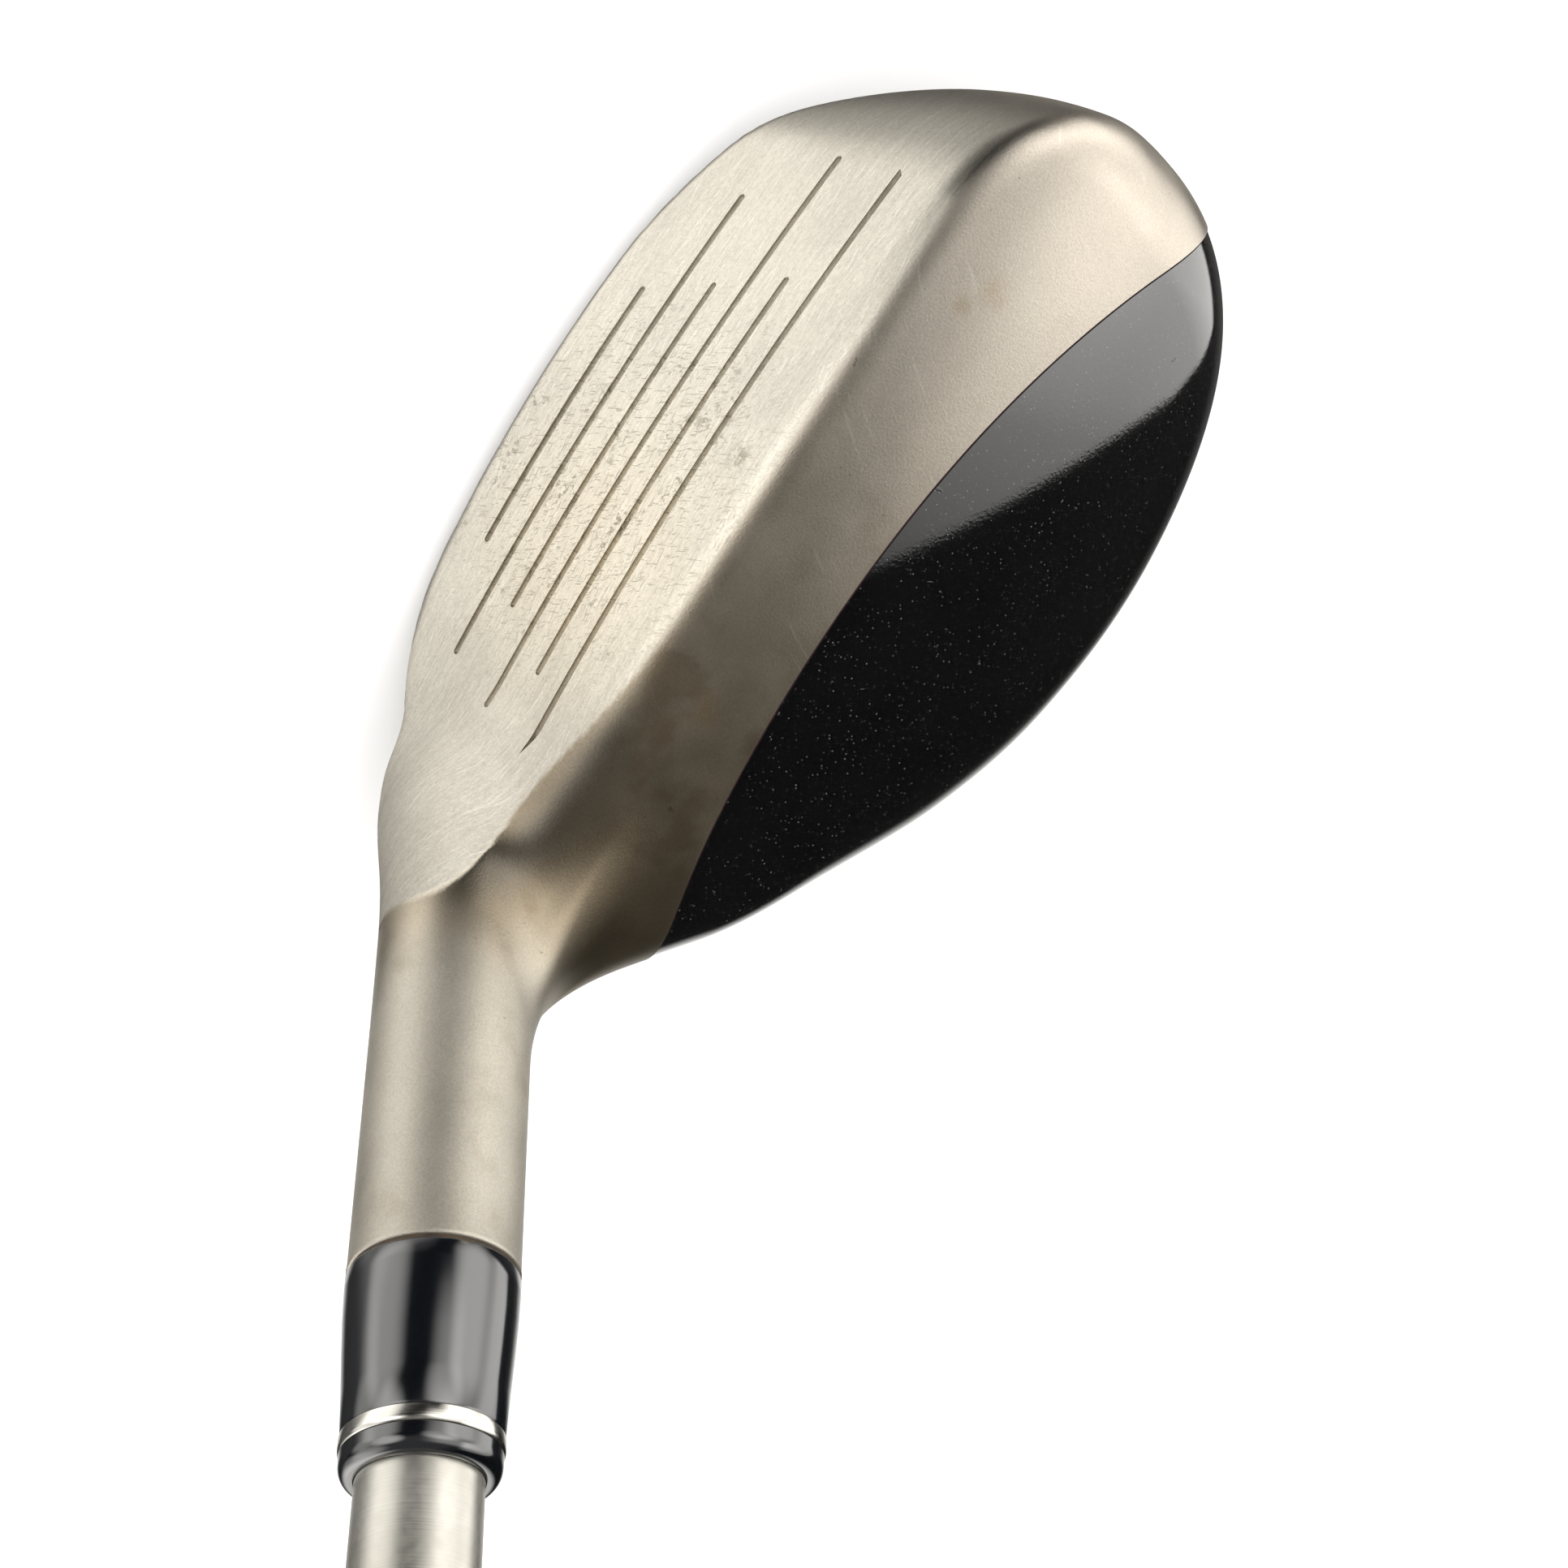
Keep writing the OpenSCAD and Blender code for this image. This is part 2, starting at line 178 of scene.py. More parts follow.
def d_head(x, y, z):
    front = FRONT_BLEND + 3 * smooth01((x - 2) / 10)
    k = front + (REAR_BLEND - front) * smooth01((y + 2) / 9)
    return smooth_min(d_block(x, y, z), d_hosel(x, y, z), k)


def gradient(points, field=None, e=0.01):
    field = field or d_head
    g = np.empty_like(points)
    for i in range(3):
        a = points.copy()
        b = points.copy()
        a[:, i] += e
        b[:, i] -= e
        g[:, i] = (field(*a.T) - field(*b.T)) / (2 * e)
    return g


def unit_rows(g):
    return g / np.maximum(np.linalg.norm(g, axis=1), 1e-9)[:, None]


def settle(points, level, steps=4):
    """Moves points onto the surface where the distance is -level."""
    for _ in range(steps):
        g = gradient(points)
        d = (d_head(*points.T) + level)[:, None] * g / np.maximum((g * g).sum(1), 1e-6)[:, None]
        length = np.linalg.norm(d, axis=1)
        d *= np.minimum(1, 0.3 / np.maximum(length, 1e-9))[:, None]
        points = points - d
    return points


# ------------------------------------------------------------------ a quad skin of the distance field
class HeadGrid:
    """The field sampled once on a grid; skin(level) gives a closed quad mesh of one level."""

    def __init__(self, low, high, h):
        self.low = np.array(low, float)
        self.h = h
        self.n = [int(math.ceil((b - a) / h)) + 1 for a, b in zip(low, high)]
        axes = [low[i] + h * np.arange(self.n[i]) for i in range(3)]
        x, y, z = np.meshgrid(*axes, indexing="ij")
        self.v = d_head(x, y, z)
        self.cap = x * AXIS[0] + z * AXIS[2] - HOSEL_JOIN - 2

    def skin(self, level):
        v = np.maximum(self.v + level, self.cap)
        n = self.n
        inside = v < 0
        cells = tuple(k - 1 for k in n)
        corners = [(i, j, k) for i in (0, 1) for j in (0, 1) for k in (0, 1)]
        count = np.zeros(cells, np.int8)
        for c in corners:
            count += inside[c[0]:c[0] + cells[0], c[1]:c[1] + cells[1], c[2]:c[2] + cells[2]]
        active = (count > 0) & (count < 8)
        ids = np.full(cells, -1, np.int64)
        ids[active] = np.arange(active.sum())
        where = np.argwhere(active)
        total = np.zeros((len(where), 3))
        weight = np.zeros(len(where))
        for a in corners:
            for d in range(3):
                if a[d]:
                    continue
                b = list(a)
                b[d] = 1
                va = v[where[:, 0] + a[0], where[:, 1] + a[1], where[:, 2] + a[2]]
                vb = v[where[:, 0] + b[0], where[:, 1] + b[1], where[:, 2] + b[2]]
                crossing = (va < 0) != (vb < 0)
                t = np.where(crossing, va / np.where(crossing, va - vb, 1), 0)
                p = np.array(a, float)[None] + t[:, None] * (np.array(b) - np.array(a))[None]
                total += np.where(crossing[:, None], p, 0)
                weight += crossing
        points = (where + total / weight[:, None]) * self.h + self.low
        quads = []
        for d in range(3):
            u, w = (d + 1) % 3, (d + 2) % 3
            first = [slice(1, n[k] - 1) for k in range(3)]
            second = list(first)
            first[d] = slice(0, n[d] - 1)
            second[d] = slice(1, n[d])
            a, b = inside[tuple(first)], inside[tuple(second)]
            base = np.argwhere(a != b)
            flip = ~a[tuple(base.T)]
            for k in range(3):
                if k != d:
                    base[:, k] += 1
            loop = []
            for du, dw in ((-1, -1), (0, -1), (0, 0), (-1, 0)):
                q = base.copy()
                q[:, u] += du
                q[:, w] += dw
                loop.append(ids[q[:, 0], q[:, 1], q[:, 2]])
            q = np.stack(loop, 1)
            q[flip] = q[flip][:, ::-1]
            quads.append(q)
        low_enough = points @ AXIS < HOSEL_JOIN + 1
        points[low_enough] = settle(points[low_enough], level)
        return points, np.concatenate(quads)


# ------------------------------------------------------------------ mesh helpers
scene = bpy.context.scene


def make_object(name, points, faces):
    mesh = bpy.data.meshes.new(name)
    mesh.from_pydata([tuple(p) for p in points], [], [tuple(int(i) for i in f) for f in faces])
    mesh.update()
    obj = bpy.data.objects.new(name, mesh)
    scene.collection.objects.link(obj)
    return obj


def prism(name, lower, upper):
    """A closed prism between two rings of points of the same length."""
    n = len(lower)
    points = list(lower) + list(upper)
    faces = [list(range(n))[::-1], list(range(n, 2 * n))]
    faces += [(i, (i + 1) % n, n + (i + 1) % n, n + i) for i in range(n)]
    return make_object(name, points, faces)


def cut(target, tool, operation):
    modifier = target.modifiers.new("cut", "BOOLEAN")
    modifier.operation = operation
    modifier.solver = "MANIFOLD"
    modifier.object = tool
    graph = bpy.context.evaluated_depsgraph_get()
    mesh = bpy.data.meshes.new_from_object(target.evaluated_get(graph), depsgraph=graph)
    target.modifiers.clear()
    old = target.data
    target.data = mesh
    bpy.data.meshes.remove(old)


def drop(*objects):
    for o in objects:
        mesh = o.data
        bpy.data.objects.remove(o)
        bpy.data.meshes.remove(mesh)


def mesh_points(mesh):
    co = np.empty(len(mesh.vertices) * 3, np.float32)
    mesh.vertices.foreach_get("co", co)
    return co.reshape(-1, 3).astype(float)


def to_metres(obj):
    obj.data.transform(Matrix.Scale(MM, 4))


def crown_line(x):
    return 12.9 + 0.005 * (x + 23) ** 2 + 0.0000005 * (x + 23) ** 4


def rear_zone(name, margin, foot):
    ring = [(x, crown_line(x) + margin) for x in np.arange(-92, 32.5, 1.0)] + [(32, 70), (-92, 70)]
    return prism(name, [(x, y, foot) for x, y in ring], [(x, y, 60.0) for x, y in ring])


def face_point(x, up, out):
    """A point in the plane of the face: up the loft, and out along its normal."""
    y = -FACE_FORWARD + up * math.sin(LOFT) - out * math.cos(LOFT)
    z = up * math.cos(LOFT) + out * math.sin(LOFT)
    return (x, y, z)


def convex_offset(outline, r, steps=10):
    """The outline of a convex polygon grown by r, with rounded corners."""
    ring = []
    n = len(outline)
    for i in range(n):
        p0, p1, p2 = (np.array(outline[(i + k) % n], float) for k in (-1, 0, 1))
        e0, e1 = p1 - p0, p2 - p1
        a0 = math.atan2(-e0[0], e0[1])
        a1 = math.atan2(-e1[0], e1[1])
        while a1 < a0:
            a1 += 2 * math.pi
        for k in range(steps + 1):
            a = a0 + (a1 - a0) * k / steps
            ring.append((p1[0] + r * math.cos(a), p1[1] + r * math.sin(a)))
    return ring


def face_zone(name, grow):
    outline = [(-56, 14.5), (-50, 11.5), (-4, 11.5), (2, 15), (1, 19), (-10, 22), (-56, 22)]
    ring = convex_offset(outline, 6 + grow)
    return prism(name, [face_point(x, u, -FACE_CUT) for x, u in ring],
                 [face_point(x, u, 5.0) for x, u in ring])


def skin_height(x, up):
    """How far the head's skin stands out from the plane of the face."""
    low, high = np.full(len(x), -3.0), np.full(len(x), 3.0)
    for _ in range(24):
        middle = (low + high) / 2
        inside = d_head(*face_point(x, up, middle)) < -SKIN
        low, high = np.where(inside, middle, low), np.where(inside, high, middle)
    return (low + high) / 2


def score_cutter(i):
    x0, x1 = SCORE_ENDS[i]
    up = SCORE_FIRST + i * SCORE_PITCH
    half = SCORE_W / 2
    stations = [x0 + half * (1 - math.cos(math.radians(a))) for a in (0, 30, 60, 90)]
    stations += [x0 + half + (x1 - x0 - SCORE_W) * k / 40 for k in range(1, 40)]
    stations += [x1 - half * (1 - math.cos(math.radians(a))) for a in (90, 60, 30, 0)]
    points, faces = [], []
    for x, top in zip(stations, skin_height(np.array(stations), up)):
        near_end = min(x - x0, x1 - x)
        w = half if near_end >= half else max(0.02, math.sqrt(max(0.0, half ** 2 - (half - near_end) ** 2)))
        floor = top - SCORE_DEPTH
        for u, out in ((-w, 3.0), (-w, top - 0.12), (-0.62 * w, floor),
                       (0.62 * w, floor), (w, top - 0.12), (w, 3.0)):
            points.append(face_point(x, up + u, out))
    n = len(stations)
    for k in range(n - 1):
        for j in range(6):
            a, b = 6 * k + j, 6 * k + (j + 1) % 6
            faces.append((a, a + 6, b + 6, b))
    faces.append(tuple(range(6)))
    faces.append(tuple(range(6 * n - 1, 6 * n - 7, -1)))
    return make_object(f"score_{i}", points, faces)


def brushed_mask(p):
    """1 on the milled face, 0 on the blasted rest, with a narrow step between them."""
    x, y, z = p.T
    wall = d_wall(x, y, z)
    mask = smooth01(0.5 + (wall - d_crown(x, y, z)) / 1.2)
    mask *= smooth01(0.5 + (wall - d_sole(x, y, z) + 0.6) / 1.2)
    mask *= smooth01(35.8 - 0.28 * (y + 6.3) ** 2 - p @ AXIS)
    return mask * smooth01((7 - y) / 4)


def past_top_line(p):
    """How far a point lies behind the top line, where the face and the crown meet."""
    return d_crown(*p.T) - d_wall(*p.T)


def upper_half(p):
    return clamp01((p[:, 2] - 14) / 8)


def ridge_mask(p):
    """1 along the top line, where handling polishes the metal."""
    return np.exp(-(past_top_line(p) / 1.6) ** 2) * upper_half(p)


def ridge_shade_mask(p, brushed):
    """Painted shade: the dark line beside the top line at the heel, running on towards the hosel."""
    line = np.exp(-((past_top_line(p) - 1.0) / 2.2) ** 2) * (1 - brushed)
    return line * smooth01((p[:, 0] + 12) / 10) * smooth01((38 - p @ AXIS) / 6) * upper_half(p)


def heel_normals(p, g, brushed):
    """The milled face runs flat to its edge at the heel, and the top line stays crisp up to the hosel."""
    x, y, z = p.T
    a = p @ AXIS
    near = smooth01((x + 7) / 9) * smooth01((9 - y) / 6)
    flat = unit_rows(np.stack([(x - FACE_MID) / BULGE_R, 0 * x - math.cos(LOFT), 0 * x + math.sin(LOFT)], 1))
    share = (0.85 * brushed * smooth01((x + 7) / 9))[:, None]
    g = g * (1 - share) + flat * share
    share = (0.85 * near * (1 - brushed) * smooth01((36 - a) / 14) * smooth01((z - 20) / 5))[:, None]
    return unit_rows(g * (1 - share) + unit_rows(gradient(p, d_block)) * share)


def shade_head(obj, level, dirt=None):
    """Exact normals on the head's skin, flat ones on cut faces, and the masks that materials read."""
    mesh = obj.data
    p = mesh_points(mesh)
    g = unit_rows(gradient(p))
    off = np.abs(d_head(*p.T) + level)
    brushed = brushed_mask(p)
    turned = p @ AXIS > HOSEL_JOIN - 0.4
    loops = np.empty(len(mesh.loops), np.int32)
    mesh.loops.foreach_get("vertex_index", loops)
    n_poly = len(mesh.polygons)
    total = np.empty(n_poly, np.int32)
    mesh.polygons.foreach_get("loop_total", total)
    normal = np.empty(n_poly * 3, np.float32)
    mesh.polygons.foreach_get("normal", normal)
    normal = normal.reshape(-1, 3).astype(float)
    owner = np.repeat(np.arange(n_poly), total)
    bad = np.zeros(n_poly, bool)
    np.logical_or.at(bad, owner, (off[loops] > 0.03) & ~turned[loops])
    tilt = np.full(n_poly, 1.0)
    np.minimum.at(tilt, owner, (normal[owner] * g[loops]).sum(1))
    on_skin = ~bad & (tilt > 0.6)
    g = heel_normals(p, g, brushed)
    loop_normals = np.where(on_skin[owner][:, None], g[loops], normal[owner])
    mesh.polygons.foreach_set("use_smooth", np.ones(n_poly, bool))
    mesh.normals_split_custom_set([tuple(v) for v in loop_normals])
    if dirt is not None:
        index = np.where(on_skin, 0, dirt).astype(np.int32)
        mesh.polygons.foreach_set("material_index", index)
    for name, values in (("brushed", brushed), ("ridge", ridge_mask(p)), ("painted_ridge_shade", ridge_shade_mask(p, brushed))):
        attribute = mesh.attributes.new(name, "FLOAT", "POINT")
        attribute.data.foreach_set("value", values.astype(np.float32))


def lathe(name, profile, segments):
    """Revolves (station, radius) points about the shaft axis."""
    angles = 2 * math.pi * np.arange(segments) / segments
    circle = [math.cos(t) * ACROSS + math.sin(t) * Y_AXIS for t in angles]
    points = [a * AXIS + r * c for a, r in profile for c in circle]
    faces = []
    for i in range(len(profile) - 1):
        for j in range(segments):
            k = (j + 1) % segments
            faces.append((i * segments + j, i * segments + k, (i + 1) * segments + k, (i + 1) * segments + j))
    return make_object(name, points, faces)


def smooth_by_angle(obj, degrees=32):
    mesh = obj.data
    mesh.polygons.foreach_set("use_smooth", np.ones(len(mesh.polygons), bool))
    mesh.set_sharp_from_angle(angle=math.radians(degrees))


def edit_mesh(obj, operation):
    b = bmesh.new()
    b.from_mesh(obj.data)
    operation(b)
    b.to_mesh(obj.data)
    b.free()


def face_outwards(b):
    bmesh.ops.recalc_face_normals(b, faces=b.faces)


def cut_hosel(b):
    """Removes everything above the join, leaving an open ring for the turned end."""
    bmesh.ops.bisect_plane(b, geom=b.verts[:] + b.edges[:] + b.faces[:], dist=1e-5,
                           plane_co=Vector(AXIS * HOSEL_JOIN), plane_no=Vector(AXIS), clear_outer=True)


# ------------------------------------------------------------------ material helpers
class Nodes:
    """Short names for building a node tree."""

    def __init__(self, tree):
        self.tree = tree

    def new(self, kind, **props):
        node = self.tree.nodes.new(kind)
        for k, v in props.items():
            setattr(node, k, v)
        return node

    def put(self, socket, value):
        if isinstance(value, bpy.types.NodeSocket):
            self.tree.links.new(value, socket)
        elif isinstance(value, (tuple, list)) and len(value) == 3 and socket.type == "RGBA":
            socket.default_value = (*value, 1)
        else:
            socket.default_value = value

    def math(self, op, a, b=0.0, clamp=False):
        n = self.new("ShaderNodeMath", operation=op, use_clamp=clamp)
        self.put(n.inputs[0], a)
        self.put(n.inputs[1], b)
        return n.outputs[0]

    def add(self, a, b):
        return self.math("ADD", a, b)

    def sub(self, a, b):
        return self.math("SUBTRACT", a, b)

    def mul(self, a, b):
        return self.math("MULTIPLY", a, b)

    def ramp(self, value, low, high, out_low=0.0, out_high=1.0, smooth=True):
        n = self.new("ShaderNodeMapRange", interpolation_type="SMOOTHSTEP" if smooth else "LINEAR")
        self.put(n.inputs["Value"], value)
        self.put(n.inputs["From Min"], low)
        self.put(n.inputs["From Max"], high)
        self.put(n.inputs["To Min"], out_low)
        self.put(n.inputs["To Max"], out_high)
        return n.outputs["Result"]

    def mix(self, fac, a, b):
        n = self.new("ShaderNodeMix", data_type="RGBA")
        self.put(n.inputs["Factor"], fac)
        self.put(n.inputs["A"], a)
        self.put(n.inputs["B"], b)
        return n.outputs["Result"]

    def shade(self, colour, value):
        n = self.new("ShaderNodeMix", data_type="RGBA", blend_type="MULTIPLY")
        n.inputs["Factor"].default_value = 1
        grey = self.new("ShaderNodeCombineColor")
        for k in range(3):
            self.put(grey.inputs[k], value)
        self.put(n.inputs["A"], colour)
        self.put(n.inputs["B"], grey.outputs[0])
        return n.outputs["Result"]

    def place(self, scale, rotate=(0, 0, 0), move=(0, 0, 0)):
        """Object coordinates in metres, rotated and then scaled."""
        c = self.new("ShaderNodeTexCoord")
        r = self.new("ShaderNodeMapping", vector_type="POINT")
        r.inputs["Rotation"].default_value = rotate
        self.tree.links.new(c.outputs["Object"], r.inputs["Vector"])
        m = self.new("ShaderNodeMapping", vector_type="POINT")
        m.inputs["Scale"].default_value = scale
        m.inputs["Location"].default_value = move
        self.tree.links.new(r.outputs[0], m.inputs["Vector"])
        return m.outputs[0]

    def noise(self, vector, scale=1.0, detail=2.0, rough=0.5):
        n = self.new("ShaderNodeTexNoise")
        self.put(n.inputs["Vector"], vector)
        n.inputs["Scale"].default_value = scale
        n.inputs["Detail"].default_value = detail
        n.inputs["Roughness"].default_value = rough
        return n.outputs["Fac"]

    def voronoi(self, vector, scale=1.0, feature="F1"):
        n = self.new("ShaderNodeTexVoronoi", feature=feature)
        self.put(n.inputs["Vector"], vector)
        n.inputs["Scale"].default_value = scale
        return n

    def attribute(self, name):
        return self.new("ShaderNodeAttribute", attribute_name=name).outputs["Fac"]

    def axes(self):
        c = self.new("ShaderNodeTexCoord")
        s = self.new("ShaderNodeSeparateXYZ")
        self.tree.links.new(c.outputs["Object"], s.inputs[0])
        return s.outputs

    def spot(self, x, y, z, r0, r1):
        """1 within r0 of a point, 0 beyond r1, all in millimetres."""
        c = self.new("ShaderNodeTexCoord")
        d = self.new("ShaderNodeVectorMath", operation="DISTANCE")
        self.tree.links.new(c.outputs["Object"], d.inputs[0])
        d.inputs[1].default_value = (x * MM, y * MM, z * MM)
        return self.ramp(d.outputs["Value"], r0 * MM, r1 * MM, 1.0, 0.0)

    def bump(self, height, distance, strength=1.0, normal=None):
        n = self.new("ShaderNodeBump")
        n.inputs["Strength"].default_value = strength
        n.inputs["Distance"].default_value = distance
        self.put(n.inputs["Height"], height)
        if normal is not None:
            self.put(n.inputs["Normal"], normal)
        return n.outputs[0]


def material(name, **constants):
    m = bpy.data.materials.new(name)
    m.use_nodes = True
    nodes = Nodes(m.node_tree)
    shader = m.node_tree.nodes["Principled BSDF"]
    for k, v in constants.items():
        socket = shader.inputs[k.replace("_", " ")]
        nodes.put(socket, v)
    return m, nodes, shader


LOFT_TURN = (LOFT, 0, 0)


def scratches(n, angle, along, across, low, high, move):
    """Thin straight marks in the plane of the face, at an angle to the score lines."""
    lines = n.noise(n.place((along, 40, across), (LOFT, math.radians(angle), 0), move), 1, 1, 0.4)
    return n.ramp(lines, low, high)


# Marks on the head: x, y, z, radius and, where it varies, strength, in millimetres
FACE_MARKS = ((-33.4, -2.9, 21.9, 2.0), (-32.2, -3.6, 20.2, 1.3), (-32.0, -0.6, 27.6, 2.2))
# Heel spots: real brown staining, and painted shade on the heel crown beside the hosel.
HEEL_STAIN_AND_SHADE = ((5, 3, 30, 13, 0.55), (8, 14, 31, 12, 0.60), (-5, 10, 32, 12, 0.35))
RUST_SPOTS = ((-56.0, 9.5, 31.8, 2.2), (-53.5, 7.5, 32.0, 1.4), (-12.0, 8.0, 32.6, 2.6))
# Crease spots: painted shade where the crown meets the hosel.
CREASE_SHADE = ((8.5, 0.5, 32, 6.5, 0.60), (11.5, -1, 36.5, 5.0, 0.30), (11.5, 9, 33, 7.0, 0.55))


def head_metal(name):
    """Cast steel: brushed on the face, bead-blasted elsewhere, stained towards the heel, with painted shade
    at the heel, by the hosel and beside the top line.
    """
    m, n, s = material(name, Metallic=1.0)
    brushed = n.attribute("brushed")
    ridge = n.attribute("ridge")
    x, y, z = n.axes()
    # Streaks run from heel to toe
    fine = n.noise(n.place((170, 60, 8000), LOFT_TURN), 1, 3, 0.6)
    medium = n.noise(n.place((60, 25, 2600), LOFT_TURN, (3, 1, 2)), 1, 2, 0.6)
    blotch = n.noise(n.place((55, 55, 55)), 1, 4, 0.6)
    cloud = n.noise(n.place((190, 190, 190)), 1, 3, 0.6)
    middle = n.spot(-24, -5, 15, 5, 30)
    face = n.mix(n.ramp(blotch, 0.35, 0.65), (0.57, 0.535, 0.465), (0.64, 0.605, 0.525))
    warm = n.spot(-17, -4, 19, 2, 22)
    face = n.mix(n.mul(warm, 0.55), face, (0.70, 0.625, 0.49))
    face = n.shade(face, n.ramp(fine, 0.3, 0.7, 0.90, 1.07, False))
    face = n.shade(face, n.ramp(medium, 0.3, 0.7, 0.94, 1.04, False))
    mottle = n.noise(n.place((1500, 1500, 4200), LOFT_TURN, (5, 2, 8)), 1, 3, 0.65)
    face = n.shade(face, n.ramp(mottle, 0.3, 0.7, 0.90, 1.07, False))
    pale = n.math("MAXIMUM", scratches(n, 14, 260, 6500, 0.68, 0.73, (7, 2, 5)),
                  scratches(n, -12, 330, 7000, 0.68, 0.73, (2, 5, 1)))
    face = n.mix(n.mul(pale, 0.40), face, (0.82, 0.79, 0.72))
    dark = n.math("MAXIMUM", scratches(n, -52, 1000, 7000, 0.66, 0.72, (1, 4, 9)),
                  scratches(n, -68, 800, 6500, 0.66, 0.72, (8, 3, 4)))
    dark = n.math("MAXIMUM", dark, scratches(n, 8, 600, 7500, 0.68, 0.73, (5, 9, 2)))
    dark = n.mul(dark, n.ramp(middle, 0.0, 1.0, 0.10, 0.85))
    face = n.mix(n.mul(dark, 0.6), face, (0.20, 0.18, 0.14))
    fleck = n.noise(n.place((1700, 1700, 1700)), 1, 2, 0.6)
    patch = n.noise(n.place((230, 230, 230), (0, 0, 0), (4, 4, 4)), 1, 2, 0.6)
    fleck = n.mul(n.ramp(fleck, 0.54, 0.64), n.mul(n.ramp(patch, 0.53, 0.66), middle))
    face = n.mix(n.mul(fleck, 0.65), face, (0.17, 0.155, 0.115))
    for cx, cy, cz, r in FACE_MARKS:
        ragged = n.ramp(n.noise(n.place((900, 900, 900)), 1, 3, 0.7), 0.45, 0.58)
        mark = n.mul(n.spot(cx, cy, cz, 0.2, r), ragged)
        face = n.mix(n.mul(mark, 0.60), face, (0.17, 0.16, 0.11))
    # Bead-blasted colour: champagne at the toe, brown at the heel
    heel = n.ramp(x, -0.058, 0.000)
    up_hosel = n.ramp(n.add(n.mul(x, 0.5), n.mul(z, 0.866)), 0.033, 0.046)
    tone = n.mix(heel, (0.62, 0.56, 0.48), (0.465, 0.395, 0.295))
    tone = n.mix(up_hosel, tone, (0.62, 0.58, 0.50))
    tone = n.shade(tone, n.ramp(blotch, 0.3, 0.7, 0.92, 1.05, False))
    tone = n.shade(tone, n.ramp(cloud, 0.3, 0.7, 0.96, 1.03, False))
    speck = n.noise(n.place((620, 620, 620), (0, 0, 0), (3, 7, 1)), 1, 3, 0.7)
    stain = n.mul(n.ramp(n.noise(n.place((120, 120, 120), (0, 0, 0), (9, 1, 3)), 1, 3, 0.6), 0.52, 0.68),
                  n.mul(heel, n.sub(1.0, n.mul(up_hosel, 0.6))))
    tone = n.mix(n.mul(stain, 0.45), tone, (0.22, 0.155, 0.08))
    # Painted shade with some real staining: broad dark brown spots over the heel crown.
    for cx, cy, cz, r, amount in HEEL_STAIN_AND_SHADE:
        tone = n.mix(n.mul(n.spot(cx, cy, cz, 2, r), amount), tone, (0.17, 0.125, 0.070))
    tone = n.mix(n.mul(n.ramp(speck, 0.70, 0.76), 0.55), tone, (0.16, 0.11, 0.06))
    for cx, cy, cz, r in RUST_SPOTS:
        rust = n.mul(n.spot(cx, cy, cz, 0.2, r), n.ramp(cloud, 0.35, 0.6))
        tone = n.mix(n.mul(rust, 0.45), tone, (0.42, 0.30, 0.17))
    # Painted shade: darkening along the crease between the crown and the hosel.
    for cx, cy, cz, r, amount in CREASE_SHADE:
        tone = n.mix(n.mul(n.spot(cx, cy, cz, 1, r), amount), tone, (0.20, 0.165, 0.115))
    rub = scratches(n, 35, 160, 2600, 0.68, 0.73, (6, 6, 1))
    tone = n.mix(n.mul(rub, n.ramp(x, -0.016, -0.008, 0.25, 0.0)), tone, (0.80, 0.76, 0.68))
    # Painted shade: a dark band beside the top line at the heel, running on towards the hosel.
    tone = n.mix(n.mul(n.attribute("painted_ridge_shade"), 0.80), tone, (0.20, 0.18, 0.15))
    colour = n.mix(brushed, tone, face)
    grain = n.noise(n.place((1, 1, 1)), 4600, 3, 0.7)
    colour = n.shade(colour, n.ramp(grain, 0.3, 0.7, 0.88, 1.10, False))
    n.put(s.inputs["Base Color"], colour)
    rough = n.new("ShaderNodeMix", data_type="FLOAT")
    n.put(rough.inputs["Factor"], brushed)
    n.put(rough.inputs["A"], n.add(n.ramp(cloud, 0.3, 0.7, 0.36, 0.41, False), n.mul(up_hosel, 0.14)))
    n.put(rough.inputs["B"], n.ramp(medium, 0.3, 0.7, 0.29, 0.36, False))
    n.put(s.inputs["Roughness"], n.sub(rough.outputs["Result"], n.mul(ridge, 0.05)))
    streaks = n.add(n.mul(fine, 0.7), n.mul(medium, 0.5))
    streaks = n.sub(streaks, n.mul(dark, 0.7))
    height = n.new("ShaderNodeMix", data_type="FLOAT")
    n.put(height.inputs["Factor"], brushed)
    n.put(height.inputs["A"], n.mul(grain, 2.2))
    n.put(height.inputs["B"], streaks)
    n.put(s.inputs["Normal"], n.bump(height.outputs["Result"], 0.000014, 0.6))
    return m


def groove_dirt():
    m, n, s = material("groove_dirt", Metallic=0.0)
    s.inputs["Specular IOR Level"].default_value = 0.25
    spots = n.noise(n.place((260, 700, 700)), 1, 3, 0.6)
    grain = n.noise(n.place((1, 1, 1)), 2600, 3, 0.65)
    colour = n.mix(n.ramp(grain, 0.3, 0.7), (0.48, 0.42, 0.27), (0.66, 0.60, 0.42))
    colour = n.mix(n.ramp(spots, 0.575, 0.61), colour, (0.020, 0.015, 0.008))
    n.put(s.inputs["Base Color"], colour)
    n.put(s.inputs["Roughness"], n.ramp(grain, 0.3, 0.7, 0.6, 0.8))
    n.put(s.inputs["Normal"], n.bump(grain, 0.00006, 0.6))
    return m


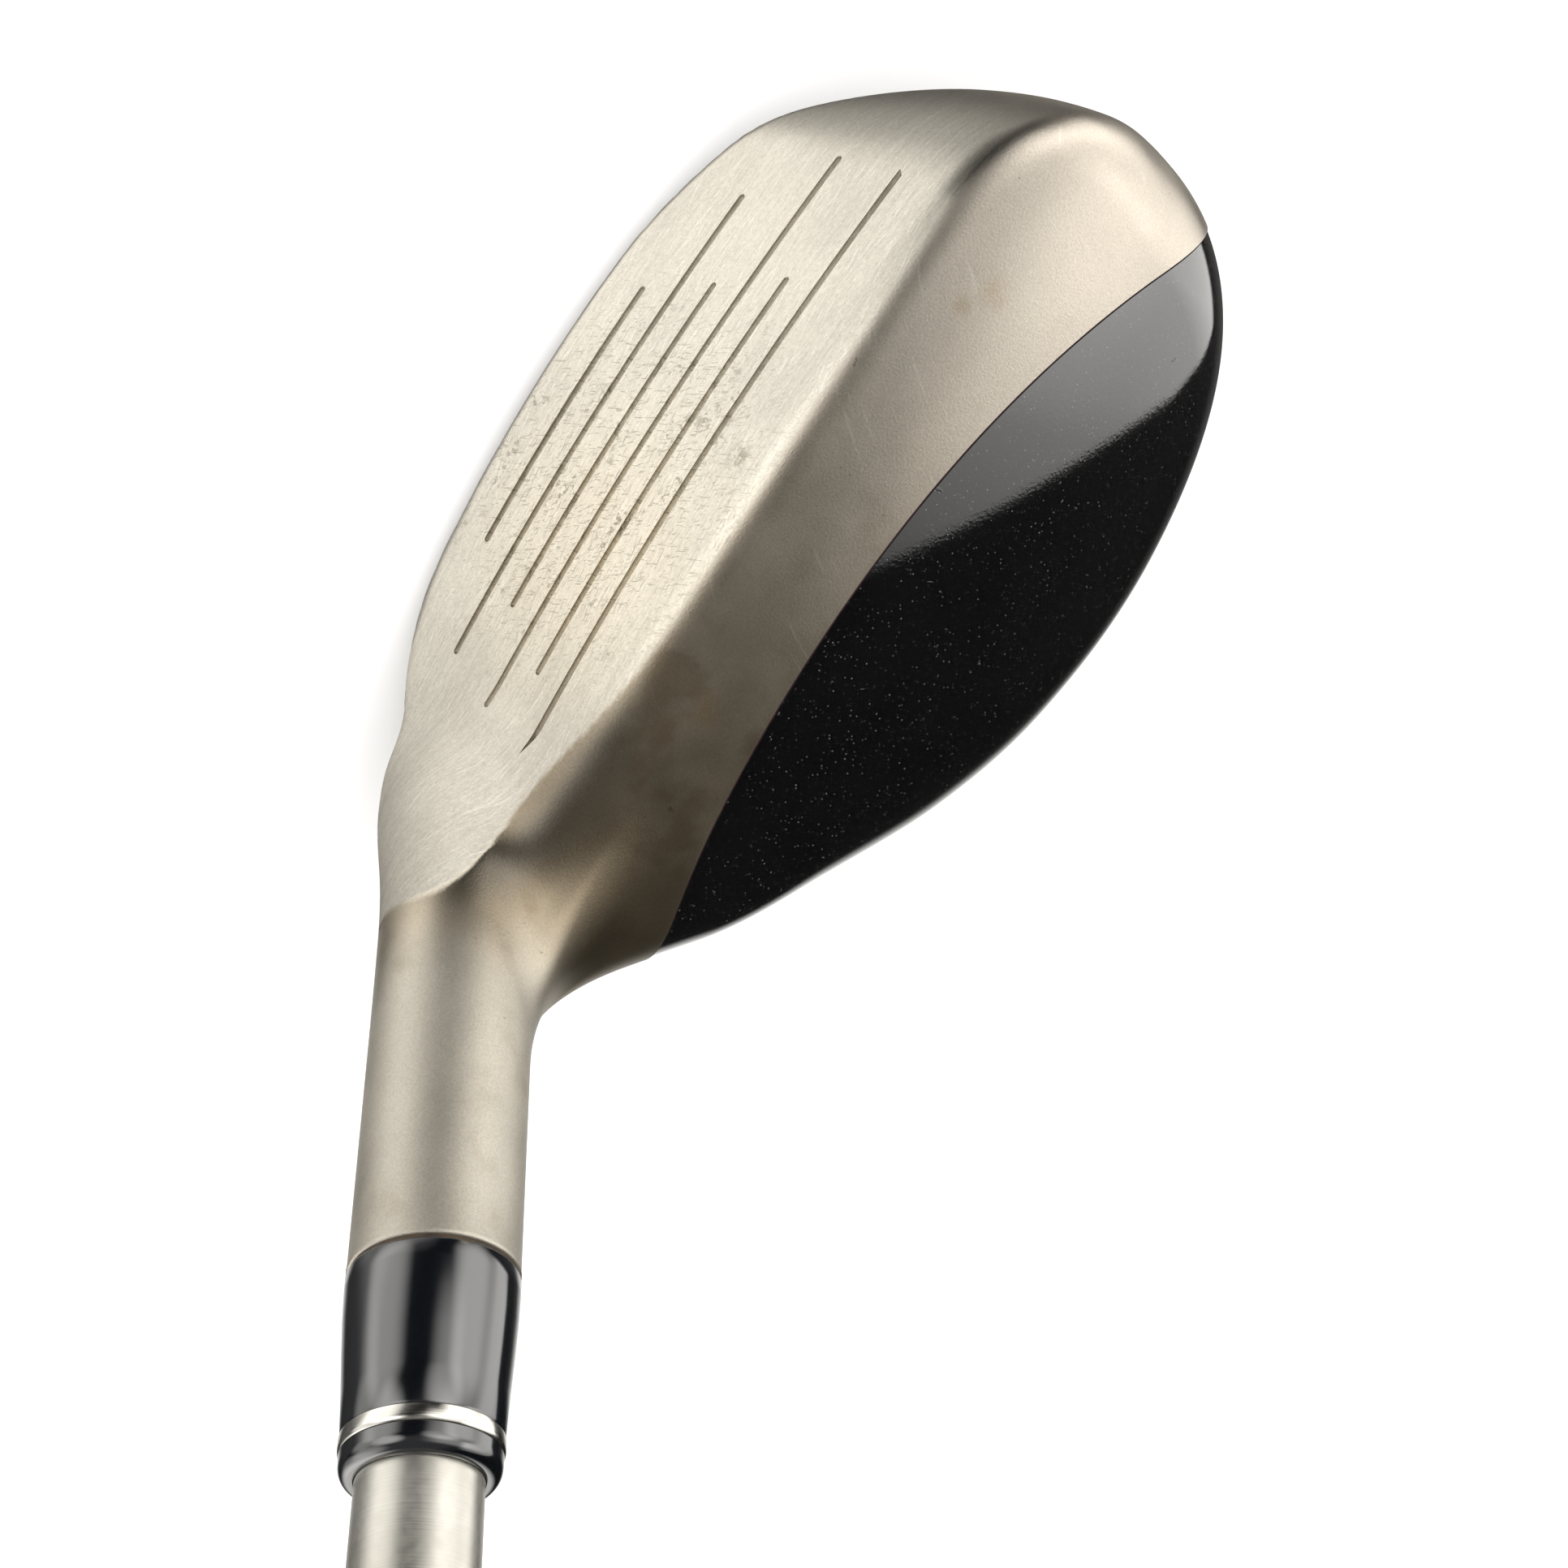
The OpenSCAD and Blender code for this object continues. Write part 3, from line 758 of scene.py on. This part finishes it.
def black_paint():
    m, n, s = material("black_flake_paint", Coat_Weight=1.0, Coat_Roughness=0.05, Coat_IOR=2.3)
    s.inputs["Specular IOR Level"].default_value = 0.02
    cells = n.voronoi(n.place((1, 1, 1)), 4300)
    pick = n.ramp(cells.outputs["Color"], 0.72, 1.0)
    near = n.ramp(cells.outputs["Distance"], 0.16, 0.42, 1.0, 0.0)
    flake = n.mul(pick, near)
    haze = n.noise(n.place((1, 1, 1)), 90, 3, 0.6)
    base = n.mix(n.ramp(haze, 0.3, 0.7), (0.0008, 0.0009, 0.0011), (0.0016, 0.0017, 0.0020))
    n.put(s.inputs["Base Color"], n.mix(n.mul(flake, 0.9), base, (0.17, 0.17, 0.175)))
    n.put(s.inputs["Roughness"], n.ramp(haze, 0.3, 0.7, 0.40, 0.50))
    n.put(s.inputs["Normal"], n.bump(cells.outputs["Distance"], 0.00003, 0.3))
    chip = n.ramp(n.noise(n.place((1, 1, 1)), 420, 2, 0.5), 0.76, 0.78)
    peel = n.noise(n.place((1, 1, 1)), 2600, 2, 0.6)
    n.put(s.inputs["Coat Normal"], n.bump(n.add(n.mul(peel, 0.6), chip), 0.000018, 0.35))
    return m


def plain_noise(name, low, high, scale, rough=(0.5, 0.7), bump=0.00004, strength=0.5, **constants):
    """A moulded, cast or cured surface: two tones, a grain and a matching bump."""
    m, n, s = material(name, **constants)
    broad = n.noise(n.place((1, 1, 1)), scale * 0.18, 3, 0.6)
    grain = n.noise(n.place((1, 1, 1)), scale, 3, 0.6)
    colour = n.mix(n.ramp(broad, 0.32, 0.68), low, high)
    n.put(s.inputs["Base Color"], n.shade(colour, n.ramp(grain, 0.3, 0.7, 0.90, 1.08, False)))
    n.put(s.inputs["Roughness"], n.ramp(grain, 0.3, 0.7, *rough))
    n.put(s.inputs["Normal"], n.bump(grain, bump, strength))
    return m


def turned_metal(name, low, high, along, rough, pitch=9000, metallic=1.0):
    """Metal with lines around the shaft axis, or around the vertical for the sole weight."""
    m, n, s = material(name, Metallic=metallic)
    turn = (0, -(math.pi / 2 - LIE), 0) if along else (0, 0, 0)
    lines = n.noise(n.place((25, 25, pitch), turn), 1, 2, 0.6)
    broad = n.noise(n.place((1, 1, 1)), 130, 3, 0.6)
    wear = n.noise(n.place((1, 1, 1)), 1500, 2, 0.5)
    colour = n.mix(n.ramp(broad, 0.3, 0.7), low, high)
    n.put(s.inputs["Base Color"], n.shade(colour, n.ramp(lines, 0.3, 0.7, 0.92, 1.06, False)))
    uneven = n.ramp(lines, 0.3, 0.7, -0.02, 0.03)
    n.put(s.inputs["Roughness"], n.add(n.ramp(wear, 0.3, 0.7, *rough), uneven))
    n.put(s.inputs["Normal"], n.bump(lines, 0.000012, 0.5))
    return m


MATERIALS = {
    "body_steel": head_metal("cast_steel"),
    "face_steel": head_metal("face_steel_brushed"),
    "black_paint": black_paint(),
    "seam_adhesive": plain_noise("seam_adhesive", (0.030, 0.010, 0.012), (0.055, 0.020, 0.022), 1800),
    "weight_steel": turned_metal("weight_steel", (0.34, 0.33, 0.31), (0.46, 0.45, 0.42), False,
                                 (0.28, 0.38)),
    "seal_rubber": plain_noise("seal_rubber", (0.012, 0.012, 0.012), (0.024, 0.024, 0.024), 2600),
    "hot_melt": plain_noise("hot_melt", (0.55, 0.47, 0.27), (0.70, 0.62, 0.40), 700, (0.35, 0.5)),
    "epoxy": plain_noise("epoxy", (0.50, 0.44, 0.28), (0.62, 0.56, 0.38), 900, (0.3, 0.45)),
    "bond_line": plain_noise("bond_line", (0.030, 0.017, 0.008), (0.060, 0.034, 0.015), 2200),
    "ferrule_black": plain_noise("ferrule_black", (0.0008, 0.0016, 0.0030), (0.0014, 0.0026, 0.0046), 2500,
                                 (0.3, 0.4), 0.000006, 0.3, Specular_IOR_Level=0.02, Coat_Weight=1.0,
                                 Coat_Roughness=0.12, Coat_IOR=2.3),
    "ferrule_silver": turned_metal("ferrule_silver", (0.74, 0.72, 0.66), (0.84, 0.82, 0.76), True,
                                   (0.14, 0.2)),
    "shaft_plate": turned_metal("shaft_plate", (0.54, 0.52, 0.46), (0.62, 0.60, 0.54), True, (0.30, 0.36),
                                metallic=0.88),
    "plug_rubber": plain_noise("plug_rubber", (0.05, 0.05, 0.05), (0.09, 0.09, 0.09), 1700),
    "pin_brass": turned_metal("pin_brass", (0.66, 0.47, 0.18), (0.78, 0.58, 0.26), True, (0.24, 0.34)),
    "band_foil": plain_noise("band_foil", (0.10, 0.115, 0.135), (0.15, 0.165, 0.19), 1500, (0.3, 0.4),
                             0.00001, 0.3),
    "tape_paper": plain_noise("tape_paper", (0.62, 0.58, 0.48), (0.74, 0.70, 0.60), 3000, (0.7, 0.85)),
    "grip_rubber": plain_noise("grip_rubber", (0.014, 0.014, 0.015), (0.026, 0.026, 0.027), 2600, (0.6, 0.78),
                               0.00005, 0.6),
}
DIRT = groove_dirt()


def finish_piece(obj, node, slot, extra=None):
    obj.data.materials.clear()
    obj.data.materials.append(MATERIALS[slot])
    if extra is not None:
        obj.data.materials.append(extra)
    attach(obj, "root")
    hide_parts(node)
    return obj


# ------------------------------------------------------------------ head pieces
grid = HeadGrid((-79, -14, -1.2), (41.5, 57, 62.5), GRID)
skin_points, skin_quads = grid.skin(SKIN)
shell_points, shell_quads = grid.skin(SKIN + CROWN_STEP)
seam_points, seam_quads = grid.skin(SKIN + CROWN_STEP + SEAM_STEP)

body = make_object("v_head_body", skin_points, skin_quads)
plate = make_object("v_face_plate", skin_points, skin_quads)
shell = make_object("v_rear_crown", shell_points, shell_quads)
seam = make_object("v_crown_seam", seam_points, seam_quads)

rear = rear_zone("cut_rear", 0.0, CROWN_FOOT)
face = face_zone("cut_face", 0.0)
port_ring = [(WEIGHT_AT[0] + WEIGHT_R * math.cos(t), WEIGHT_AT[1] + WEIGHT_R * math.sin(t))
             for t in 2 * math.pi * np.arange(96) / 96]
port = prism("cut_port", [(x, y, -3.0) for x, y in port_ring], [(x, y, 8.5) for x, y in port_ring])
cut(body, rear, "DIFFERENCE")
cut(body, face, "DIFFERENCE")
cut(body, port, "DIFFERENCE")
cut(plate, face, "INTERSECT")
for i in range(len(SCORE_ENDS)):
    groove = score_cutter(i)
    edit_mesh(groove, face_outwards)
    cut(plate, groove, "DIFFERENCE")
    drop(groove)

inner = rear_zone("cut_inner", SEAM_W, CROWN_FOOT + SEAM_W)
cut(shell, inner, "INTERSECT")
cut(seam, rear, "INTERSECT")
cut(seam, inner, "DIFFERENCE")
drop(rear, inner, face, port)


edit_mesh(body, cut_hosel)
shade_head(body, SKIN)
shade_head(plate, SKIN, dirt=1)
shade_head(shell, SKIN + CROWN_STEP)
shade_head(seam, SKIN + CROWN_STEP + SEAM_STEP)

r_join = HOSEL_R + 0.006 * (HOSEL_END - HOSEL_JOIN) - SKIN
hosel_end = lathe("v_hosel_end", [
    (HOSEL_JOIN, r_join), (HOSEL_END - 0.5, HOSEL_R + 0.003 - SKIN), (HOSEL_END - 0.22, HOSEL_R - 0.03),
    (HOSEL_END - 0.07, HOSEL_R - 0.1), (HOSEL_END, HOSEL_R - 0.25), (HOSEL_END, 5.6),
    (HOSEL_END - 0.7, HOSEL_BORE_R), (HOSEL_JOIN, HOSEL_BORE_R)], TURNED_SIDES)
smooth_by_angle(hosel_end, 40)

for piece in (body, plate, shell, seam, hosel_end):
    to_metres(piece)
finish_piece(body, "head_body", "body_steel")
finish_piece(plate, "face_plate", "face_steel", DIRT)
finish_piece(shell, "rear_crown", "black_paint")
finish_piece(seam, "crown_adhesive", "seam_adhesive")
finish_piece(hosel_end, "head_body", "body_steel")

# ------------------------------------------------------------------ ferrule, ring, collar and bond
ferrule = lathe("v_ferrule", [
    (FERRULE_START, FERRULE_BORE_R), (FERRULE_START, 6.58), (FERRULE_START + 0.08, 6.70),
    (FERRULE_START + 0.25, 6.77), (FERRULE_START + 1.5, 6.76), (FERRULE_START + 4, 6.66),
    (FERRULE_START + 7, 6.45), (FERRULE_START + 10, 6.22), (RING_START - 0.2, 6.04),
    (RING_START - 0.02, 5.96), (RING_START - 0.02, FERRULE_BORE_R)], TURNED_SIDES)
ring = lathe("v_ferrule_ring", [
    (RING_START, FERRULE_BORE_R), (RING_START, 5.98), (RING_START + 0.12, 6.09), (RING_START + 0.35, 6.11),
    (RING_END - 0.35, 6.10), (RING_END - 0.12, 6.06), (RING_END, 5.95), (RING_END, FERRULE_BORE_R)],
    TURNED_SIDES)
collar_profile = [(RING_END + 0.01, FERRULE_BORE_R), (RING_END + 0.01, 5.90), (RING_END + 0.12, 5.98)]
collar_profile += [(FERRULE_END - 1.2 + 1.2 * math.sin(t), 4.95 + 1.0 * math.cos(t))
                   for t in np.radians(np.arange(0, 91, 9))]
collar_profile += [(FERRULE_END - 0.05, 4.78), (FERRULE_END - 0.4, 4.74)]
collar = lathe("v_ferrule_collar", collar_profile, TURNED_SIDES)
bond = lathe("v_ferrule_bond", [
    (HOSEL_END - 0.1, 4.8), (HOSEL_END - 0.02, 6.55), (HOSEL_END + 0.12, 6.58),
    (FERRULE_START + 0.02, 6.55), (FERRULE_START + 0.02, 4.8)], TURNED_SIDES)
for piece, node, slot in ((ferrule, "ferrule_body", "ferrule_black"),
                          (ring, "ferrule_ring", "ferrule_silver"),
                          (collar, "ferrule_collar", "ferrule_black"),
                          (bond, "ferrule_bond", "bond_line")):
    smooth_by_angle(piece, 36)
    to_metres(piece)
    finish_piece(piece, node, slot)

# ------------------------------------------------------------------ shaft with its drawn steps, and its band
step_len = (STEP_END - STEP_START) / STEPS
rise = (BUTT_R - TIP_R) / STEPS
profile = [(SHAFT_START, TIP_R - 0.5), (SHAFT_START, TIP_R), (60, TIP_R), (100, TIP_R), (150, TIP_R)]
for i in range(STEPS):
    a = STEP_START + i * step_len
    r = TIP_R + i * rise
    profile += [(a - 0.75, r), (a - 0.45, r + 0.02), (a + 0.45, r + rise - 0.02), (a + 0.75, r + rise)]
profile += [(GRIP_START + 30, BUTT_R), (GRIP_START + 120, BUTT_R), (SHAFT_END - 0.1, BUTT_R)]
profile += [(SHAFT_END - 0.1, BUTT_R - 0.35)]
shaft = lathe("v_shaft", profile, 96)
smooth_by_angle(shaft, 50)
band_r = TIP_R + (STEPS - 1) * rise
band_at = STEP_START + (STEPS - 1.85) * step_len
band_len = 0.7 * step_len
band_profile = [(band_at, band_r + 0.01), (band_at + 0.05, band_r + 0.10), (band_at + 0.4, band_r + 0.125)]
for k in (0.12, 0.16, 0.84, 0.88):
    a = band_at + k * band_len
    band_profile += [(a - 0.25, band_r + 0.125), (a - 0.15, band_r + 0.07), (a + 0.15, band_r + 0.07),
                     (a + 0.25, band_r + 0.125)]
band_profile += [(band_at + band_len - 0.4, band_r + 0.125), (band_at + band_len - 0.05, band_r + 0.10),
                 (band_at + band_len, band_r + 0.01)]
band = lathe("v_shaft_band", band_profile, 96)
smooth_by_angle(band, 36)
for piece, node, slot in ((shaft, "shaft", "shaft_plate"), (band, "shaft_band", "band_foil")):
    to_metres(piece)
    finish_piece(piece, node, slot)


# ------------------------------------------------------------------ grip
def grip_radius(a):
    t = clamp01((a - GRIP_START) / (SHAFT_END - GRIP_START))
    return GRIP_MOUTH_R + (GRIP_BUTT_R - GRIP_MOUTH_R) * (0.75 * t + 0.25 * t * t)


def dimple(u, soft):
    """1 in the middle of a repeating cell, 0 at its edge."""
    return smooth01((0.5 - np.abs(u - np.floor(u) - 0.5) - 0.08) / soft)


def grip_mesh():
    rows, around = 560, 168
    a = GRIP_START + 0.8 + (SHAFT_END - GRIP_START - 0.85) * np.linspace(0, 1, rows)
    phi = 2 * math.pi * np.arange(around) / around
    A, P = np.meshgrid(a, phi, indexing="ij")
    t = (A - GRIP_START) / (SHAFT_END - GRIP_START)
    depth = np.zeros_like(A)
    # Short slanted ribs in staggered rows, broken by plain rings
    lane = P / (2 * math.pi) * 24
    row = A / 3.6 + 0.5 * (np.floor(lane) % 2) + 0.25 * (lane - np.floor(lane))
    pattern = 0.34 * dimple(row, 0.16) * dimple(lane, 0.22)
    zone = smooth01((t - 0.075) / 0.004) * smooth01((0.93 - t) / 0.004)
    for centre in (0.335, 0.635):
        zone *= 1 - smooth01((0.021 - np.abs(t - centre)) / 0.002)
    # A plain oval panel on the front of the grip
    turn = np.abs((P + math.pi / 2 + math.pi) % (2 * math.pi) - math.pi)
    for centre in (0.205, 0.485, 0.785):
        oval = np.hypot(turn / 0.62, (t - centre) / 0.085)
        zone *= smooth01((oval - 1) / 0.08)
        depth += 0.25 * smooth01((0.09 - np.abs(oval - 0.93)) / 0.05)
    depth += pattern * zone
    for centre in (0.045, 0.060, 0.323, 0.347, 0.623, 0.647, 0.948, 0.964):
        depth += 0.30 * smooth01((0.0030 - np.abs(t - centre)) / 0.0015)
    r = grip_radius(A) - depth
    points = (A[..., None] * AXIS + (r * np.cos(P))[..., None] * ACROSS
              + (r * np.sin(P))[..., None] * Y_AXIS).reshape(-1, 3)
    circle = np.cos(phi)[:, None] * ACROSS + np.sin(phi)[:, None] * Y_AXIS
    mouth = [(GRIP_START + rise) * AXIS + radius * circle
             for rise, radius in ((0, 7.8), (0, 8.9), (0.22, 9.40), (0.5, 9.62))]
    points = np.concatenate(mouth + [points])
    n = rows + len(mouth)
    i, j = np.meshgrid(np.arange(n - 1), np.arange(around), indexing="ij")
    k = (j + 1) % around
    faces = np.stack([i * around + j, i * around + k, (i + 1) * around + k, (i + 1) * around + j], -1)
    return make_object("v_grip", points, faces.reshape(-1, 4))


grip = grip_mesh()
smooth_by_angle(grip, 60)
cap_profile = [(SHAFT_END, 7.9), (SHAFT_END, CAP_R - 0.55), (SHAFT_END + 0.2, CAP_R - 0.12),
               (SHAFT_END + 0.45, CAP_R)]
cap_profile += [(CLUB_LEN - 2 + 2 * math.sin(t), CAP_R - 2 + 2 * math.cos(t))
                for t in np.radians(np.arange(0, 91, 9))]
for r in (10.4, 7.4, 4.4):
    cap_profile += [(CLUB_LEN, r + 0.45), (CLUB_LEN - 0.3, r + 0.25),
                    (CLUB_LEN - 0.3, r - 0.25), (CLUB_LEN, r - 0.45)]
cap_profile += [(CLUB_LEN, 1.9), (CLUB_LEN - 0.15, 1.6), (CLUB_LEN - 0.5, 1.5), (SHAFT_END + 0.1, 1.5)]
cap = lathe("v_grip_cap", cap_profile, 144)
smooth_by_angle(cap, 30)
for piece, node in ((grip, "grip_sleeve"), (cap, "grip_cap")):
    to_metres(piece)
    finish_piece(piece, node, "grip_rubber")

# ------------------------------------------------------------------ carried-over CAD nodes
CARRIED = {"sole_weight": "weight_steel", "sole_weight_seal": "seal_rubber", "rattle_stop": "hot_melt",
           "hosel_adhesive": "epoxy", "tip_plug": "plug_rubber", "tip_weight": "pin_brass",
           "grip_tape": "tape_paper"}
for name, slot in CARRIED.items():
    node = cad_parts[name]
    node.data.materials.clear()
    node.data.materials.append(MATERIALS[slot])

# ------------------------------------------------------------------ floor, light and camera
FLOOR_HALF = 8.0
FLOOR_Z = -0.0002
corners = ((-1, -1), (1, -1), (1, 1), (-1, 1))
floor = make_object("studio_floor", [(FLOOR_HALF * i, FLOOR_HALF * j, FLOOR_Z) for i, j in corners],
                    [(0, 1, 2, 3)])
floor_material, fn, fs = material("studio_floor", Roughness=0.9)
paper = fn.noise(fn.place((1, 1, 1)), 60, 3, 0.6)
fn.put(fs.inputs["Base Color"], fn.mix(paper, (0.86, 0.86, 0.86), (0.88, 0.88, 0.88)))
fs.inputs["Specular IOR Level"].default_value = 0.0
floor.data.materials.append(floor_material)
floor.visible_glossy = False

world = bpy.data.worlds.new("studio")
scene.world = world
world.use_nodes = True
world.cycles.sampling_method = "NONE"
wt = world.node_tree
wt.nodes.clear()
w = Nodes(wt)
coord = w.new("ShaderNodeTexCoord")
split = w.new("ShaderNodeSeparateXYZ")
wt.links.new(coord.outputs["Generated"], split.inputs[0])
dx, dy, dz = split.outputs[0], split.outputs[1], split.outputs[2]


def panel(direction, inner, outer, strength):
    """A round soft box: full inside one angle, nothing beyond the other, in degrees."""
    v = Vector(direction).normalized()
    dot = w.new("ShaderNodeVectorMath", operation="DOT_PRODUCT")
    wt.links.new(coord.outputs["Generated"], dot.inputs[0])
    dot.inputs[1].default_value = v
    low, high = math.cos(math.radians(outer)), math.cos(math.radians(inner))
    return w.mul(w.ramp(dot.outputs["Value"], low, high), strength)


above = w.ramp(dz, 0.25, 0.60)
below = w.ramp(dz, -0.60, -0.35, 1.0, 0.0)
# A tall window behind the toe, with one sharp edge that bends below the horizon
edge = w.add(w.add(w.mul(dx, -0.96), w.mul(dy, -0.247)), w.mul(dz, 0.134))
edge = w.add(edge, w.mul(w.math("MINIMUM", dz, 0.0), 0.35))
window = w.mul(w.ramp(edge, 0.0, 0.012), w.ramp(dy, 0.30, 0.50))
window = w.mul(window, w.ramp(dx, -0.80, -0.62))
window = w.mul(window, w.ramp(dz, -0.36, -0.28))
bright_side = w.ramp(dx, -0.44, -0.22, 0.95, 0.0, False)
window = w.mul(window, w.add(bright_side, w.ramp(dx, -0.26, 0.0, 1.0, 0.30, False)))
# Light overhead, brightest towards the toe and dim over the heel
overhead = w.mul(w.mul(above, w.ramp(dx, -0.50, -0.16, 1.0, 0.0)), w.ramp(dy, -0.60, -0.05))
overhead = w.mul(overhead, w.ramp(dy, 0.35, 0.75, 1.0, 0.35))
# The rest of the room, nearly dark
room = w.add(w.mul(above, w.ramp(dy, 0.05, 0.45, 0.13, 0.0)), 0.015)
# The table under the toe, the face and the heel
table = w.mul(w.mul(below, w.ramp(dy, -0.55, 0.10, 0.50, 0.08)), w.ramp(dx, 0.15, 0.45, 1.0, 0.2))
level = w.add(w.add(room, window), w.add(overhead, table))
for direction, inner, outer, strength in (
        ((-0.20, -0.88, -0.42), 3, 31, 1.4),    # three in front: face, top line, heel end of the face
        ((-0.03, -0.97, 0.24), 4, 28, 2.0),
        ((0.36, -0.90, -0.28), 4, 26, 1.0),
        ((-0.94, 0.34, 0.02), 4, 31, 2.0),      # two beyond the toe
        ((-0.66, -0.58, -0.50), 4, 24, 0.15),
        ((0.93, 0.25, 0.20), 14, 44, 1.8),      # four on the heel side and below
        ((0.30, 0.45, -0.84), 10, 36, 1.0),
        ((0.95, -0.30, 0.10), 14, 36, 0.8),
        ((0.70, -0.66, 0.26), 6, 30, 1.1)):
    level = w.add(level, panel(direction, inner, outer, strength))
# One over the toe, cut off at the horizon
level = w.add(level, w.mul(panel((-0.88, -0.15, 0.42), 8, 30, 1.4), w.ramp(dz, 0.0, 0.18)))
light = w.new("ShaderNodeBackground")
light.inputs["Color"].default_value = (1.0, 0.985, 0.955, 1)
w.put(light.inputs["Strength"], level)
plain = w.new("ShaderNodeBackground")
plain.inputs["Color"].default_value = (1, 1, 1, 1)
plain.inputs["Strength"].default_value = 1.7
path = w.new("ShaderNodeLightPath")
blend = w.new("ShaderNodeMixShader")
wt.links.new(path.outputs["Is Glossy Ray"], blend.inputs[0])
wt.links.new(plain.outputs[0], blend.inputs[1])
wt.links.new(light.outputs[0], blend.inputs[2])
out = w.new("ShaderNodeOutputWorld")
wt.links.new(blend.outputs[0], out.inputs["Surface"])

# In metres, in the frame of the CAD
CAMERA_AT = (-0.02783, -0.07513, 0.19046)
CAMERA_LOOK = (0.0996, 0.5066, -0.8564)
CAMERA_UP = (-0.8347, -0.4259, -0.3490)
camera_data = bpy.data.cameras.new("camera")
camera_data.sensor_width = 36
camera_data.lens = 46.2
camera_data.clip_start = 0.005
camera = bpy.data.objects.new("camera", camera_data)
scene.collection.objects.link(camera)
look = Vector(CAMERA_LOOK).normalized()
right = look.cross(Vector(CAMERA_UP).normalized()).normalized()
up = right.cross(look)
camera.matrix_world = Matrix([(right[k], up[k], -look[k], CAMERA_AT[k]) for k in range(3)] + [(0, 0, 0, 1)])
scene.camera = camera
scene.view_settings.view_transform = "Standard"
